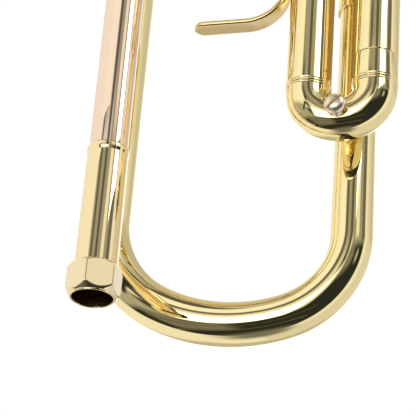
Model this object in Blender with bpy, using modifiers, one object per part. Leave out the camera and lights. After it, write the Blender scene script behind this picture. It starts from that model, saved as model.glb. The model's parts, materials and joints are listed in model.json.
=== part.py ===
"""A long-model B flat cornet, built as its separate pieces. Metres, +Z up.

+Y runs forward to the bell, -Y back to the mouthpiece, +Z up to the finger buttons and +X to the
player's right. The origin is on the second valve's axis, midway between the two bell tubes, which
is where the left hand grips the valves.
"""

import math

import bmesh
import bpy
from mathutils import Matrix, Vector

MM = 0.001

# Tubing
BORE = 5.6 * MM
SLIDE_INNER = 6.1 * MM
SLEEVE_BORE = 6.4 * MM
SLEEVE = 7.04 * MM
BEAD = 7.5 * MM
CROOK = 6.6 * MM
WALL = 0.6 * MM
GAP = 0.3 * MM
SIDES = 16
BOW_STEPS = 10

# Valves, which stand along Y
VALVE_PITCH = 22.5 * MM
VALVE_YS = (-VALVE_PITCH, 0.0, VALVE_PITCH)
CASING = 9.7 * MM
CASING_BORE = 8.5 * MM
CASING_TOP = 31 * MM
CASING_BOTTOM = -71 * MM
PISTON = 8.2 * MM
PISTON_BOTTOM = -54.5 * MM
BARREL_FOOT = -12 * MM
BARREL = 7.6 * MM
BARREL_TOP = 24 * MM
CAP = 10.3 * MM
CAP_HEIGHT = 6.7 * MM
STEM = 2.2 * MM
BUTTON = 7.6 * MM
BUTTON_BOTTOM = 56 * MM
BUTTON_HEIGHT = 3.6 * MM
PEARL = 6.0 * MM

# Lines that the tubes follow: X is the side offset, Z the height
LEAD_X = 17.8 * MM
LEAD_Z = 28.8 * MM
LEAD_R = 5.87 * MM
BELL_X = -18 * MM
BELL_Z = 38.8 * MM
MAIN_LOW_Z = -38.2 * MM

# Mouthpiece end
RECEIVER_END = -168.1 * MM
RECEIVER_FRONT = -118.6 * MM
RECEIVER_BACK_R = 6.42 * MM
RECEIVER_FRONT_R = 6.2 * MM
SOCKET_MOUTH = 6.1 * MM
SOCKET_FLOOR = 4.9 * MM
SOCKET_LENGTH = 26 * MM
COLLAR_ACROSS_FLATS = 14.3 * MM
COLLAR_LENGTH = 9.6 * MM
COLLAR_TURN = math.radians(30)
COLLAR_EDGE = 0.5 * MM

# Bell
RIM_Y = 257 * MM
RIM_R = 57.4 * MM
RIM_WIRE = 1.1 * MM
FLARE_LAG = 13.8 * MM
FLARE_POWER = 0.72
BELL_JOINT_Y = 40 * MM
BELL_UPPER_R = 7.7 * MM
BOW_BACK_Y = -161 * MM
BOW_BACK_R = 6.9 * MM
BOW_TOP_CORNER = (35.3 * MM, math.radians(60.3))
BOW_LOW_CORNER = (26.8 * MM, math.radians(74.8))
TAIL_R = 6.15 * MM
TAIL_END_Y = -53 * MM
TAIL_FERRULE_END = -36 * MM
FLARE_STATIONS = 15
FLARE_CROWDING = 2.2
FLARE_SIDES = 32

# Slides
FIRST_Z = -37.4 * MM
FIRST_HALF = 10.3 * MM
FIRST_APEX = -102.8 * MM
FIRST_BEAD = -90.8 * MM
FIRST_SEAM = -82 * MM
FIRST_COLLAR_END = -39.5 * MM
SECOND_HALF = 10.3 * MM
SECOND_SEAM = 27 * MM
SECOND_APEX = 44.3 * MM
THIRD_HALF = 12 * MM
THIRD_APEX = 134 * MM
THIRD_BEAD = 118 * MM
THIRD_SEAM = 106 * MM
THIRD_COLLAR_END = 44 * MM
TUNING_SEAM = 122 * MM
TUNING_FERRULE = 10 * MM
TUNING_START = 58 * MM
TUNING_LOW_START = 36 * MM
TUNING_BOW = 136 * MM
BEAD_LENGTH = 1.8 * MM
BEND_START = 0.9 * MM
KNUCKLE_BEND = 10 * MM

# Fittings
SADDLE_WIDTH = 6.2 * MM
SADDLE_THICK = 1.75 * MM
SADDLE_BACK = -66.7 * MM
SADDLE_BEND = 12.5 * MM
SADDLE_TIP = 10.4 * MM
SADDLE_FRONT_TIP = 2 * MM
RING_HOLE = 10.6 * MM
RING_WIRE = 1.6 * MM
RING_Y = 60 * MM
HOOK_WIDTH = 8 * MM
HOOK_THICK = 1.8 * MM
ROD = 1.2 * MM
BRACE_ROD = 1.7 * MM
BRACE_FLANGE = 4 * MM
REAR_BRACE_Y = -55 * MM
FRONT_BRACE_Y = 52 * MM
TUNING_BRACE_Y = 129 * MM
KEY_PIVOT = Vector((LEAD_X, 146 * MM, -50 * MM))
KEY_REACH = 12 * MM
KEY_WIDTH = 4 * MM
KEY_THICK = 1.2 * MM
NIPPLE_HEIGHT = 2 * MM
CORK_HEIGHT = 2 * MM
CORK_R = 3 * MM

ALONG_X = Matrix.Rotation(math.radians(90), 4, "Y")
ALONG_Y = Matrix.Rotation(math.radians(-90), 4, "X")
ALONG_Z = Matrix.Identity(4)

for stray in list(bpy.data.objects):
    bpy.data.objects.remove(stray)

cornet = bpy.data.collections.new("cornet")
cutters = bpy.data.collections.new("cutters")
bpy.context.scene.collection.children.link(cornet)
bpy.context.scene.collection.children.link(cutters)
cutters.hide_render = True


def metal(name, colour, roughness, metallic=1.0):
    material = bpy.data.materials.new(name)
    material.use_nodes = True
    shader = material.node_tree.nodes["Principled BSDF"]
    shader.inputs["Base Color"].default_value = (*colour, 1)
    shader.inputs["Roughness"].default_value = roughness
    shader.inputs["Metallic"].default_value = metallic
    return material


YELLOW = metal("yellow_brass", (0.95, 0.80, 0.42), 0.12)
ROSE = metal("rose_brass", (0.92, 0.68, 0.50), 0.12)
PALE = metal("pale_brass", (0.93, 0.84, 0.62), 0.15)
SILVER = metal("nickel_silver", (0.86, 0.82, 0.75), 0.2)
STEEL = metal("valve_alloy", (0.7, 0.7, 0.72), 0.3)
PEARL_WHITE = metal("pearl", (0.93, 0.92, 0.88), 0.25, 0.0)
CORK = metal("cork", (0.55, 0.38, 0.24), 0.8, 0.0)


def join_collection(obj, material, collection=None):
    (collection or cornet).objects.link(obj)
    obj.data.materials.append(material)
    return obj


def turned(name, profile, material, at=(0, 0, 0), turn=ALONG_Z, steps=SIDES + 4):
    """A lathe-turned piece: profile is a closed outline of (radius, height), run down its outer side."""
    mesh = bpy.data.meshes.new(name)
    points = [(r, 0, h) for r, h in profile]
    on_axis = profile[0][0] < 1e-7 and profile[-1][0] < 1e-7
    edges = [(i, i + 1) for i in range(len(points) - 1)]
    if not on_axis:
        edges.append((len(points) - 1, 0))
    mesh.from_pydata(points, edges, [])
    obj = join_collection(bpy.data.objects.new(name, mesh), material)
    obj.matrix_world = Matrix.Translation(at) @ turn
    screw = obj.modifiers.new("turn", "SCREW")
    screw.axis = "Z"
    screw.steps = steps
    screw.render_steps = steps
    screw.use_merge_vertices = True
    screw.merge_threshold = 0.00001
    screw.use_smooth_shade = True
    return obj


def sleeve(name, start, end, outer, inner, material, at, turn, bead_at_end=False):
    """A straight tube from start to end along its own axis, with an optional turned bead on its end."""
    profile = [(inner, end), (outer, end), (outer, start), (inner, start)]
    if bead_at_end:
        foot = end - BEAD_LENGTH
        profile = [(inner, end), (outer, end), (BEAD, end - BEAD_LENGTH * 0.25)]
        profile += [(BEAD, end - BEAD_LENGTH * 0.75), (outer, foot), (outer, start), (inner, start)]
    return turned(name, profile, material, at, turn)


def pipe(name, points, radii, material, wall=WALL, solid=False, resolution=None):
    """A bent tube along points; each point has its own outer radius."""
    curve = bpy.data.curves.new(name, "CURVE")
    curve.dimensions = "3D"
    curve.twist_mode = "MINIMUM"
    curve.bevel_depth = 1.0
    curve.bevel_resolution = (SIDES - 4) // 2 if resolution is None else resolution
    curve.use_fill_caps = solid
    spline = curve.splines.new("POLY")
    spline.points.add(len(points) - 1)
    for point, place, radius in zip(spline.points, points, radii):
        point.co = (*place, 1)
        point.radius = radius
    return mesh_of(name, curve, material, 0 if solid else wall)


def mesh_of(name, curve, material, wall=0.0):
    """The curve made into a mesh, which Boolean and Solidify can work on."""
    draft = bpy.data.objects.new(name + "_line", curve)
    bpy.context.scene.collection.objects.link(draft)
    graph = bpy.context.evaluated_depsgraph_get()
    mesh = bpy.data.meshes.new_from_object(draft.evaluated_get(graph))
    mesh.name = name
    bpy.data.objects.remove(draft)
    shape = bmesh.new()
    shape.from_mesh(mesh)
    bmesh.ops.remove_doubles(shape, verts=shape.verts, dist=0.000001)
    bmesh.ops.recalc_face_normals(shape, faces=shape.faces)
    shape.to_mesh(mesh)
    shape.free()
    mesh.materials.clear()
    mesh.shade_smooth()
    obj = join_collection(bpy.data.objects.new(name, mesh), material)
    if wall:
        shell = obj.modifiers.new("wall", "SOLIDIFY")
        shell.thickness = wall
        shell.offset = -1
    return obj


def strip(name, path, width, thick, material, x):
    """A bent strip: path holds the (y, z) points of its middle line, and it is as wide as it says along X."""
    shape = bmesh.new()
    line = [shape.verts.new((x - width / 2, y, z)) for y, z in path]
    edges = [shape.edges.new(pair) for pair in zip(line, line[1:])]
    grown = bmesh.ops.extrude_edge_only(shape, edges=edges)["geom"]
    moved = [item for item in grown if isinstance(item, bmesh.types.BMVert)]
    bmesh.ops.translate(shape, verts=moved, vec=(width, 0, 0))
    mesh = bpy.data.meshes.new(name)
    shape.to_mesh(mesh)
    shape.free()
    mesh.shade_smooth()
    obj = join_collection(bpy.data.objects.new(name, mesh), material)
    shell = obj.modifiers.new("thickness", "SOLIDIFY")
    shell.thickness = thick
    shell.offset = 0
    shell.use_even_offset = True
    return obj


def cut(obj, cutter, operation="DIFFERENCE"):
    boolean = obj.modifiers.new(operation.lower(), "BOOLEAN")
    boolean.operation = operation
    boolean.object = cutter


def cylinder_cutter(name, radius, depth, at, turn=ALONG_Z, sides=48):
    mesh = bpy.data.meshes.new(name)
    shape = bmesh.new()
    bmesh.ops.create_cone(
        shape, cap_ends=True, segments=sides, radius1=radius, radius2=radius, depth=depth
    )
    shape.to_mesh(mesh)
    shape.free()
    obj = bpy.data.objects.new(name, mesh)
    cutters.objects.link(obj)
    obj.matrix_world = Matrix.Translation(at) @ turn
    obj.hide_render = True
    obj.display_type = "WIRE"
    return obj


def arc(centre, radius, start, end, steps):
    """Points of an arc in a plane, angles in radians, as (first, second) pairs."""
    turns = [start + (end - start) * i / steps for i in range(steps + 1)]
    return [(centre[0] + radius * math.cos(t), centre[1] + radius * math.sin(t)) for t in turns]


# Rooms round the casings, which trim every tube that meets them
casing_rooms = [
    cylinder_cutter(f"casing_room_{i + 1}", CASING + GAP, 0.12, (0, y, -0.02))
    for i, y in enumerate(VALVE_YS)
]


def make_receiver():
    length = RECEIVER_FRONT - RECEIVER_END - GAP
    profile = [
        (SOCKET_FLOOR, length),
        (RECEIVER_FRONT_R, length),
        (RECEIVER_BACK_R, COLLAR_LENGTH),
        (RECEIVER_BACK_R, 0),
        (SOCKET_MOUTH, 0),
        (SOCKET_FLOOR, SOCKET_LENGTH),
    ]
    at = (LEAD_X, RECEIVER_END, LEAD_Z)
    turned("mouthpiece_receiver", profile, YELLOW, at, ALONG_Y)


def make_collar():
    """Six flats with rounded-off corners, and a bore that takes the receiver."""
    mesh = bpy.data.meshes.new("receiver_collar")
    shape = bmesh.new()
    corner = COLLAR_ACROSS_FLATS / 2 / math.cos(math.radians(30))
    bmesh.ops.create_cone(
        shape, cap_ends=True, segments=6, radius1=corner, radius2=corner, depth=COLLAR_LENGTH
    )
    shape.to_mesh(mesh)
    shape.free()
    collar = join_collection(bpy.data.objects.new("receiver_collar", mesh), PALE)
    middle = RECEIVER_END + GAP + COLLAR_LENGTH / 2
    collar.matrix_world = (
        Matrix.Translation((LEAD_X, middle, LEAD_Z)) @ ALONG_Y @ Matrix.Rotation(COLLAR_TURN, 4, "Z")
    )
    soften = collar.modifiers.new("soft_edges", "BEVEL")
    soften.width = COLLAR_EDGE
    soften.segments = 2
    bore = cylinder_cutter(
        "collar_bore", RECEIVER_BACK_R + GAP, 0.03, (LEAD_X, middle, LEAD_Z), ALONG_Y
    )
    cut(collar, bore)


def make_leadpipe():
    start = RECEIVER_FRONT
    sleeve(
        "leadpipe", start, TUNING_START - GAP, LEAD_R, LEAD_R - WALL, ROSE, (LEAD_X, 0, LEAD_Z), ALONG_Y
    )


def make_tuning_sleeves():
    for name, start, height in (
        ("tuning_sleeve_upper", TUNING_START, LEAD_Z),
        ("tuning_sleeve_lower", TUNING_LOW_START, MAIN_LOW_Z),
    ):
        throat = start + 4 * MM
        profile = [
            (SLEEVE_BORE, TUNING_SEAM),
            (BEAD, TUNING_SEAM),
            (BEAD, TUNING_SEAM - BEAD_LENGTH),
            (SLEEVE, TUNING_SEAM - BEAD_LENGTH),
            (SLEEVE, start),
            (BORE, start),
            (BORE, throat),
            (SLEEVE_BORE, throat),
        ]
        turned(name, profile, YELLOW, (LEAD_X, 0, height), ALONG_Y)


def elbow(name, side, start_y, valve_y, height, radius, room):
    """A quarter bend from a tube beside the valves into a casing's side."""
    direction = math.copysign(1, valve_y - start_y)
    centre = (side - math.copysign(KNUCKLE_BEND, side), valve_y - direction * KNUCKLE_BEND)
    sweep = arc((0, 0), KNUCKLE_BEND, 0, math.pi / 2, 8)
    points = [(side, start_y, height)]
    for along, across in sweep:
        x = centre[0] + math.copysign(along, side)
        points.append((x, centre[1] + direction * across, height))
    points.append((side * 0.1, valve_y, height))
    bend = pipe(name, points, [radius] * len(points), YELLOW)
    cut(bend, room)


def make_knuckles():
    elbow(
        "main_knuckle",
        LEAD_X,
        TUNING_LOW_START - GAP,
        VALVE_YS[2],
        MAIN_LOW_Z,
        CROOK,
        casing_rooms[2],
    )
    elbow("bell_knuckle", BELL_X, TAIL_FERRULE_END, VALVE_YS[0], -BELL_Z, CROOK, casing_rooms[0])
    sleeve(
        "bell_tail_ferrule",
        TAIL_END_Y + GAP,
        TAIL_FERRULE_END - GAP,
        SLEEVE,
        TAIL_R,
        YELLOW,
        (BELL_X, 0, -BELL_Z),
        ALONG_Y,
    )


def flare_radius(y):
    """The bell's radius grows as a power of the distance back from its rim."""
    return RIM_R * (FLARE_LAG / (RIM_Y - y + FLARE_LAG)) ** FLARE_POWER


def bell_radius_at(y):
    """The flare, eased so that it starts as wide as the bell tube it joins."""
    ease = BELL_UPPER_R - flare_radius(BELL_JOINT_Y)
    return flare_radius(y) + ease * (RIM_Y - y) / (RIM_Y - BELL_JOINT_Y)


def make_bell_flare():
    """Stations crowd towards the rim, where the flare turns fastest."""
    stations = FLARE_STATIONS
    lengths = [(1 - i / stations) ** FLARE_CROWDING for i in range(stations + 1)]
    ys = [RIM_Y - (RIM_Y - BELL_JOINT_Y - GAP) * length for length in lengths]
    outer = [(bell_radius_at(y), y) for y in ys]
    inner = []
    for i, (radius, y) in enumerate(outer):
        before = outer[max(i - 1, 0)]
        after = outer[min(i + 1, stations)]
        slope = math.atan2(after[0] - before[0], after[1] - before[1])
        inner.append((radius - WALL * math.cos(slope), y + WALL * math.sin(slope)))
    profile = list(reversed(outer)) + inner
    turned("bell_flare", profile, YELLOW, (BELL_X, 0, BELL_Z), ALONG_Y, FLARE_SIDES)


def make_rim_wire():
    ring = [
        (RIM_R + GAP + RIM_WIRE + u, RIM_Y + v)
        for u, v in arc((0, 0), RIM_WIRE, 0, -2 * math.pi, 8)[:-1]
    ]
    turned("bell_rim_wire", ring, YELLOW, (BELL_X, 0, BELL_Z), ALONG_Y, FLARE_SIDES)


def bow_line():
    """(y, z) points of the rear bow: two round corners and a flatter back, all tangent."""
    (top_r, top_turn), (low_r, low_turn) = BOW_TOP_CORNER, BOW_LOW_CORNER
    span = 2 * BELL_Z - top_r * (1 - math.cos(top_turn)) - low_r * (1 - math.cos(low_turn))
    back_r = span / (math.cos(top_turn) + math.cos(low_turn))
    y, z = 0.0, BELL_Z
    points = []
    for radius, start, end, steps in (
        (top_r, 0, top_turn, 7),
        (back_r, top_turn, math.pi - low_turn, 6),
        (low_r, math.pi - low_turn, math.pi, 7),
    ):
        from_y, from_z = y, z
        for i in range(1, steps + 1):
            turn = start + (end - start) * i / steps
            y = from_y - radius * (math.sin(turn) - math.sin(start))
            z = from_z - radius * (math.cos(start) - math.cos(turn))
            points.append((y, z))
    back = min(y for y, z in points)
    return [(y - back + BOW_BACK_Y, z) for y, z in [(0.0, BELL_Z)] + points]


def make_bell_bow():
    bend = bow_line()
    line = [(BELL_JOINT_Y, BELL_Z)] + bend + [(TAIL_END_Y, -BELL_Z)]
    lengths = [0.0]
    for (y0, z0), (y1, z1) in zip(line, line[1:]):
        lengths.append(lengths[-1] + math.hypot(y1 - y0, z1 - z0))
    back_at = lengths[min(range(len(line)), key=lambda i: line[i][0])]
    radii = []
    for length in lengths:
        if length < back_at:
            radii.append(BELL_UPPER_R + (BOW_BACK_R - BELL_UPPER_R) * length / back_at)
        else:
            part = (length - back_at) / (lengths[-1] - back_at)
            radii.append(BOW_BACK_R + (TAIL_R - BOW_BACK_R) * part)
    pipe("bell_bow", [(BELL_X, y, z) for y, z in line], radii, YELLOW)


def make_valve(number, y):
    at = (0, y, 0)
    sleeve(
        f"valve_casing_{number}", CASING_BOTTOM, CASING_TOP, CASING, CASING_BORE, YELLOW, at, ALONG_Z
    )
    top = CASING_TOP + GAP
    hole = STEM + 4 * GAP
    cap = [
        (hole, top + CAP_HEIGHT),
        (CAP - 2 * MM, top + CAP_HEIGHT),
        (CAP, top + CAP_HEIGHT - 1.5 * MM),
        (CAP, top),
        (hole, top),
    ]
    turned(f"top_cap_{number}", cap, YELLOW, at)
    low = CASING_BOTTOM - GAP
    base = [
        (0, low),
        (CAP, low),
        (CAP, low - CAP_HEIGHT + 1.2 * MM),
        (CAP - 1.2 * MM, low - CAP_HEIGHT),
        (0, low - CAP_HEIGHT),
    ]
    turned(f"bottom_cap_{number}", base, YELLOW, at)
    piston = [
        (0, BARREL_TOP),
        (BARREL, BARREL_TOP),
        (BARREL, BARREL_FOOT),
        (PISTON, BARREL_FOOT),
        (PISTON, PISTON_BOTTOM),
        (0, PISTON_BOTTOM),
    ]
    turned(f"piston_{number}", piston, STEEL, at)
    rim = BUTTON_BOTTOM + BUTTON_HEIGHT
    seat = PEARL + GAP
    button = [
        (0, rim - 1.5 * MM),
        (seat, rim - 1.5 * MM),
        (seat, rim),
        (BUTTON - 0.3 * MM, rim),
        (BUTTON, rim - 1.2 * MM),
        (BUTTON - 1.8 * MM, BUTTON_BOTTOM),
        (STEM, BUTTON_BOTTOM),
        (STEM, BARREL_TOP + GAP),
        (0, BARREL_TOP + GAP),
    ]
    turned(f"finger_button_{number}", button, YELLOW, at)
    floor = rim - 1.5 * MM + GAP
    pearl = [(0, floor + 1.5 * MM), (PEARL * 0.6, floor + 1.35 * MM), (PEARL, floor + 0.9 * MM)]
    turned(f"button_pearl_{number}", pearl + [(PEARL, floor), (0, floor)], PEARL_WHITE, at)


def make_crossovers():
    """Short passages that join neighbouring casings and space them."""
    for number, height in ((1, -30 * MM), (2, -45 * MM)):
        middle = (VALVE_YS[number - 1] + VALVE_YS[number]) / 2
        at = (0, middle, height)
        half = VALVE_PITCH / 2
        block = turned(
            f"crossover_{number}",
            [(0, half), (BORE, half), (BORE, -half), (0, -half)],
            YELLOW,
            at,
            ALONG_Y,
        )
        cut(block, casing_rooms[number - 1])
        cut(block, casing_rooms[number])


def loop_points(leg_down, apex, half, leg_up, place):
    """Down one leg, round the bow and back up the other. place turns (along, height) to a point."""
    depth = apex - leg_down[-1]
    points = [place(along, half) for along in leg_down]
    for i in range(1, BOW_STEPS):
        turn = math.pi / 2 - math.pi * i / BOW_STEPS
        points.append(place(leg_down[-1] + depth * math.cos(turn), half * math.sin(turn)))
    points += [place(along, -half) for along in leg_up]
    return points


def make_first_slide():
    def place(along, height):
        return (0, along, FIRST_Z + height)

    top = FIRST_Z + FIRST_HALF
    low = FIRST_Z - FIRST_HALF
    shoulder = FIRST_BEAD - BEAD_LENGTH - GAP
    step = 0.2 * MM
    fixed_end = FIRST_SEAM - 2 * MM
    upper = [
        (BORE - 0.2 * MM, VALVE_YS[0]),
        (SLEEVE, VALVE_YS[0]),
        (SLEEVE, FIRST_COLLAR_END),
        (SLIDE_INNER, FIRST_COLLAR_END),
        (SLIDE_INNER, fixed_end),
        (BORE, fixed_end),
    ]
    fixed = turned("first_sleeve_upper", upper, YELLOW, (0, 0, top), ALONG_Y)
    cut(fixed, casing_rooms[0])
    lower = sleeve(
        "first_sleeve_lower",
        FIRST_SEAM,
        VALVE_YS[0],
        SLEEVE,
        SLEEVE_BORE,
        YELLOW,
        (0, 0, low),
        ALONG_Y,
    )
    cut(lower, casing_rooms[0])
    back = Matrix.Rotation(math.radians(90), 4, "X")
    sleeve(
        "first_slide_upper_sleeve",
        -(FIRST_COLLAR_END - GAP),
        -FIRST_BEAD + BEAD_LENGTH,
        SLEEVE,
        SLEEVE_BORE,
        YELLOW,
        (0, 0, top),
        back,
        True,
    )
    sleeve(
        "first_slide_lower_ferrule",
        -(FIRST_SEAM - GAP),
        -FIRST_BEAD + BEAD_LENGTH,
        SLEEVE,
        SLEEVE_BORE,
        YELLOW,
        (0, 0, low),
        back,
        True,
    )
    bend = shoulder - BEND_START
    starts = (fixed_end - 1 * MM, shoulder + step, shoulder, bend)
    ends = (bend, shoulder, shoulder + step, VALVE_YS[0] - CASING - 8 * MM)
    points = loop_points(starts, FIRST_APEX, FIRST_HALF, ends, place)
    radii = [SLIDE_INNER, SLIDE_INNER] + [CROOK] * (len(points) - 4) + [SLIDE_INNER, SLIDE_INNER]
    pipe("first_slide_crook", points, radii, YELLOW)

    outer_z = top + SLEEVE + GAP + SADDLE_THICK / 2
    back_y = SADDLE_BACK + SADDLE_THICK / 2
    front_y = back_y + 2 * SADDLE_BEND
    corner = outer_z + SADDLE_BEND
    path = [(back_y, SADDLE_TIP)]
    path += arc((back_y + SADDLE_BEND, corner), SADDLE_BEND, math.pi, 2 * math.pi, 16)
    path += [(front_y, SADDLE_FRONT_TIP)]
    strip("thumb_saddle", path, SADDLE_WIDTH, SADDLE_THICK, YELLOW, 0)

    foot = CROOK + GAP
    screw = [
        (0, foot + 4.4 * MM),
        (2.2 * MM, foot + 4.0 * MM),
        (3.3 * MM, foot + 3.2 * MM),
        (3.3 * MM, foot + 2.2 * MM),
        (1.9 * MM, foot + 1.8 * MM),
        (1.9 * MM, foot),
        (0, foot),
    ]
    turned("lyre_screw", screw, SILVER, (0, FIRST_APEX, FIRST_Z), ALONG_X, 20)


def make_second_slide():
    def place(along, height):
        return (along, 0, FIRST_Z + height)

    for name, height in (("upper", SECOND_HALF), ("lower", -SECOND_HALF)):
        tube = sleeve(
            f"second_sleeve_{name}",
            0,
            SECOND_SEAM,
            SLEEVE,
            SLEEVE_BORE,
            YELLOW,
            (0, 0, FIRST_Z + height),
            ALONG_X,
        )
        cut(tube, casing_rooms[1])
    step = 0.2 * MM
    ferrule = SECOND_SEAM + GAP
    ferrule_end = ferrule + 5 * MM
    leg = (12.5 * MM, ferrule, ferrule + step, ferrule_end, ferrule_end + step)
    points = loop_points(leg, SECOND_APEX, SECOND_HALF, tuple(reversed(leg)), place)
    ends = [SLIDE_INNER, SLIDE_INNER, SLEEVE, SLEEVE, CROOK]
    radii = ends + [CROOK] * (len(points) - 10) + list(reversed(ends))
    pipe("second_slide_crook", points, radii, YELLOW)
    foot = SECOND_APEX + CROOK + GAP
    knob = [
        (0, foot + 6.5 * MM),
        (1.8 * MM, foot + 6.2 * MM),
        (2.6 * MM, foot + 4.8 * MM),
        (1.8 * MM, foot + 3 * MM),
        (1.4 * MM, foot + 1.5 * MM),
        (2.4 * MM, foot),
        (0, foot),
    ]
    turned("second_slide_knob", knob, SILVER, (0, 0, FIRST_Z), ALONG_X, 16)


def make_third_slide():
    def place(along, height):
        return (0, along, FIRST_Z + height)

    top = FIRST_Z + THIRD_HALF
    low = FIRST_Z - THIRD_HALF
    fixed_end = THIRD_SEAM + 2 * MM
    upper = [
        (BORE, fixed_end),
        (SLIDE_INNER, fixed_end),
        (SLIDE_INNER, THIRD_COLLAR_END),
        (SLEEVE, THIRD_COLLAR_END),
        (SLEEVE, VALVE_YS[2]),
        (BORE - 0.2 * MM, VALVE_YS[2]),
    ]
    fixed = turned("third_sleeve_upper", upper, YELLOW, (0, 0, top), ALONG_Y)
    cut(fixed, casing_rooms[2])
    lower = sleeve(
        "third_sleeve_lower", VALVE_YS[2], THIRD_SEAM, SLEEVE, SLEEVE_BORE, YELLOW, (0, 0, low), ALONG_Y
    )
    cut(lower, casing_rooms[2])
    sleeve(
        "third_slide_upper_sleeve",
        THIRD_COLLAR_END + GAP,
        THIRD_BEAD,
        SLEEVE,
        SLEEVE_BORE,
        YELLOW,
        (0, 0, top),
        ALONG_Y,
        True,
    )
    sleeve(
        "third_slide_lower_ferrule",
        THIRD_SEAM + GAP,
        THIRD_BEAD,
        SLEEVE,
        SLEEVE_BORE,
        YELLOW,
        (0, 0, low),
        ALONG_Y,
        True,
    )
    step = 0.2 * MM
    shoulder = THIRD_BEAD + GAP
    bend = shoulder + BEND_START
    starts = (fixed_end + 1 * MM, shoulder - step, shoulder, bend)
    ends = (bend, shoulder, shoulder - step, VALVE_YS[2] + CASING + 10 * MM)
    points = loop_points(starts, THIRD_APEX, THIRD_HALF, ends, place)
    radii = [SLIDE_INNER, SLIDE_INNER] + [CROOK] * (len(points) - 4) + [SLIDE_INNER, SLIDE_INNER]
    pipe("third_slide_crook", points, radii, YELLOW)

    centre = top + SLEEVE + GAP + 2 * RING_WIRE + RING_HOLE
    ring = [(RING_HOLE + RING_WIRE + u, v) for u, v in arc((0, 0), RING_WIRE, 0, -2 * math.pi, 8)[:-1]]
    turned("finger_ring", ring, YELLOW, (0, RING_Y, centre), ALONG_X, 28)

    rod_z = low - SLEEVE - 3.2 * MM
    nut = 2.4 * MM
    rod = [
        (0, THIRD_SEAM + 9 * MM),
        (nut, THIRD_SEAM + 9 * MM),
        (nut, THIRD_SEAM + 4 * MM),
        (ROD, THIRD_SEAM + 4 * MM),
        (ROD, 71 * MM),
        (nut, 71 * MM),
        (nut, 67 * MM),
        (0, 67 * MM),
    ]
    turned("stop_rod", rod, SILVER, (0, 0, rod_z), ALONG_Y, 12)
    guide = [
        (ROD + GAP, 105 * MM),
        (nut, 105 * MM),
        (nut, 101.3 * MM),
        (ROD + GAP, 101.3 * MM),
    ]
    turned("stop_rod_guide", guide, SILVER, (0, 0, rod_z), ALONG_Y, 12)


def make_tuning_slide():
    middle = (LEAD_Z + MAIN_LOW_Z) / 2
    half = (LEAD_Z - MAIN_LOW_Z) / 2

    def place(along, height):
        return (LEAD_X, along, middle + height)

    step = 0.2 * MM
    ferrule = TUNING_SEAM + GAP
    ferrule_end = ferrule + TUNING_FERRULE
    leg = (ferrule, ferrule + step, ferrule_end, ferrule_end + step)
    upper = (TUNING_START + 6 * MM,) + leg
    lower = tuple(reversed(leg)) + (TUNING_LOW_START + 6 * MM,)
    points = loop_points(upper + (TUNING_BOW,), TUNING_BOW + half, half, (TUNING_BOW,) + lower, place)
    ends = [SLIDE_INNER, SLIDE_INNER, SLEEVE, SLEEVE, CROOK]
    radii = ends + [CROOK] * (len(points) - 10) + list(reversed(ends))
    pipe("tuning_crook", points, radii, YELLOW)
    reach = half - SLEEVE - GAP
    flange = 1.2 * MM
    rod = [
        (0, reach),
        (BRACE_FLANGE, reach),
        (BRACE_ROD, reach - flange),
        (BRACE_ROD, flange - reach),
        (BRACE_FLANGE, -reach),
        (0, -reach),
    ]
    turned("tuning_brace", rod, SILVER, (LEAD_X, TUNING_BRACE_Y, middle), ALONG_Z, 14)


def make_water_key():
    """A lever under the bow: its cork closes a short nipple, and a spring holds it there."""
    bow_middle = Vector((LEAD_X, TUNING_BOW, (LEAD_Z + MAIN_LOW_Z) / 2))
    bow_radius = (LEAD_Z - MAIN_LOW_Z) / 2
    turn = math.asin((KEY_PIVOT.y + KEY_REACH - TUNING_BOW) / bow_radius)
    outward = Vector((0, math.sin(turn), -math.cos(turn)))
    aim = outward.to_track_quat("Z", "Y").to_matrix().to_4x4()
    seat = bow_middle + outward * (bow_radius + CROOK + GAP)
    nipple = [
        (1.5 * MM, NIPPLE_HEIGHT),
        (2.6 * MM, NIPPLE_HEIGHT),
        (3.2 * MM, 0),
        (1.5 * MM, 0),
    ]
    turned("water_nipple", nipple, YELLOW, seat, aim, 14)
    cork_seat = seat + outward * (NIPPLE_HEIGHT + GAP)
    cork = [(0, CORK_HEIGHT), (CORK_R, CORK_HEIGHT), (CORK_R, 0), (0, 0)]
    turned("water_key_cork", cork, CORK, cork_seat, aim, 14)
    cup = cork_seat + outward * (CORK_HEIGHT + GAP + KEY_THICK / 2)
    along = Vector((0, math.cos(turn), math.sin(turn)))
    arm_z = KEY_PIVOT.z - 2.6 * MM
    tip = cup + along * CORK_R
    heel = cup - along * CORK_R
    path = [
        (tip.y, tip.z),
        (heel.y, heel.z),
        (KEY_PIVOT.y + 1 * MM, arm_z),
        (KEY_PIVOT.y - 6 * MM, arm_z),
        (KEY_PIVOT.y - 22 * MM, arm_z - 3 * MM),
    ]
    strip("water_key_lever", path, KEY_WIDTH, KEY_THICK, YELLOW, LEAD_X)
    foot = KEY_PIVOT.z - 1.4 * MM
    height = MAIN_LOW_Z - CROOK - GAP - foot
    post = [(0, height), (2.2 * MM, height), (1.5 * MM, 0), (0, 0)]
    turned("water_key_post", post, YELLOW, (LEAD_X, KEY_PIVOT.y, foot), ALONG_Z, 12)


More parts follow.
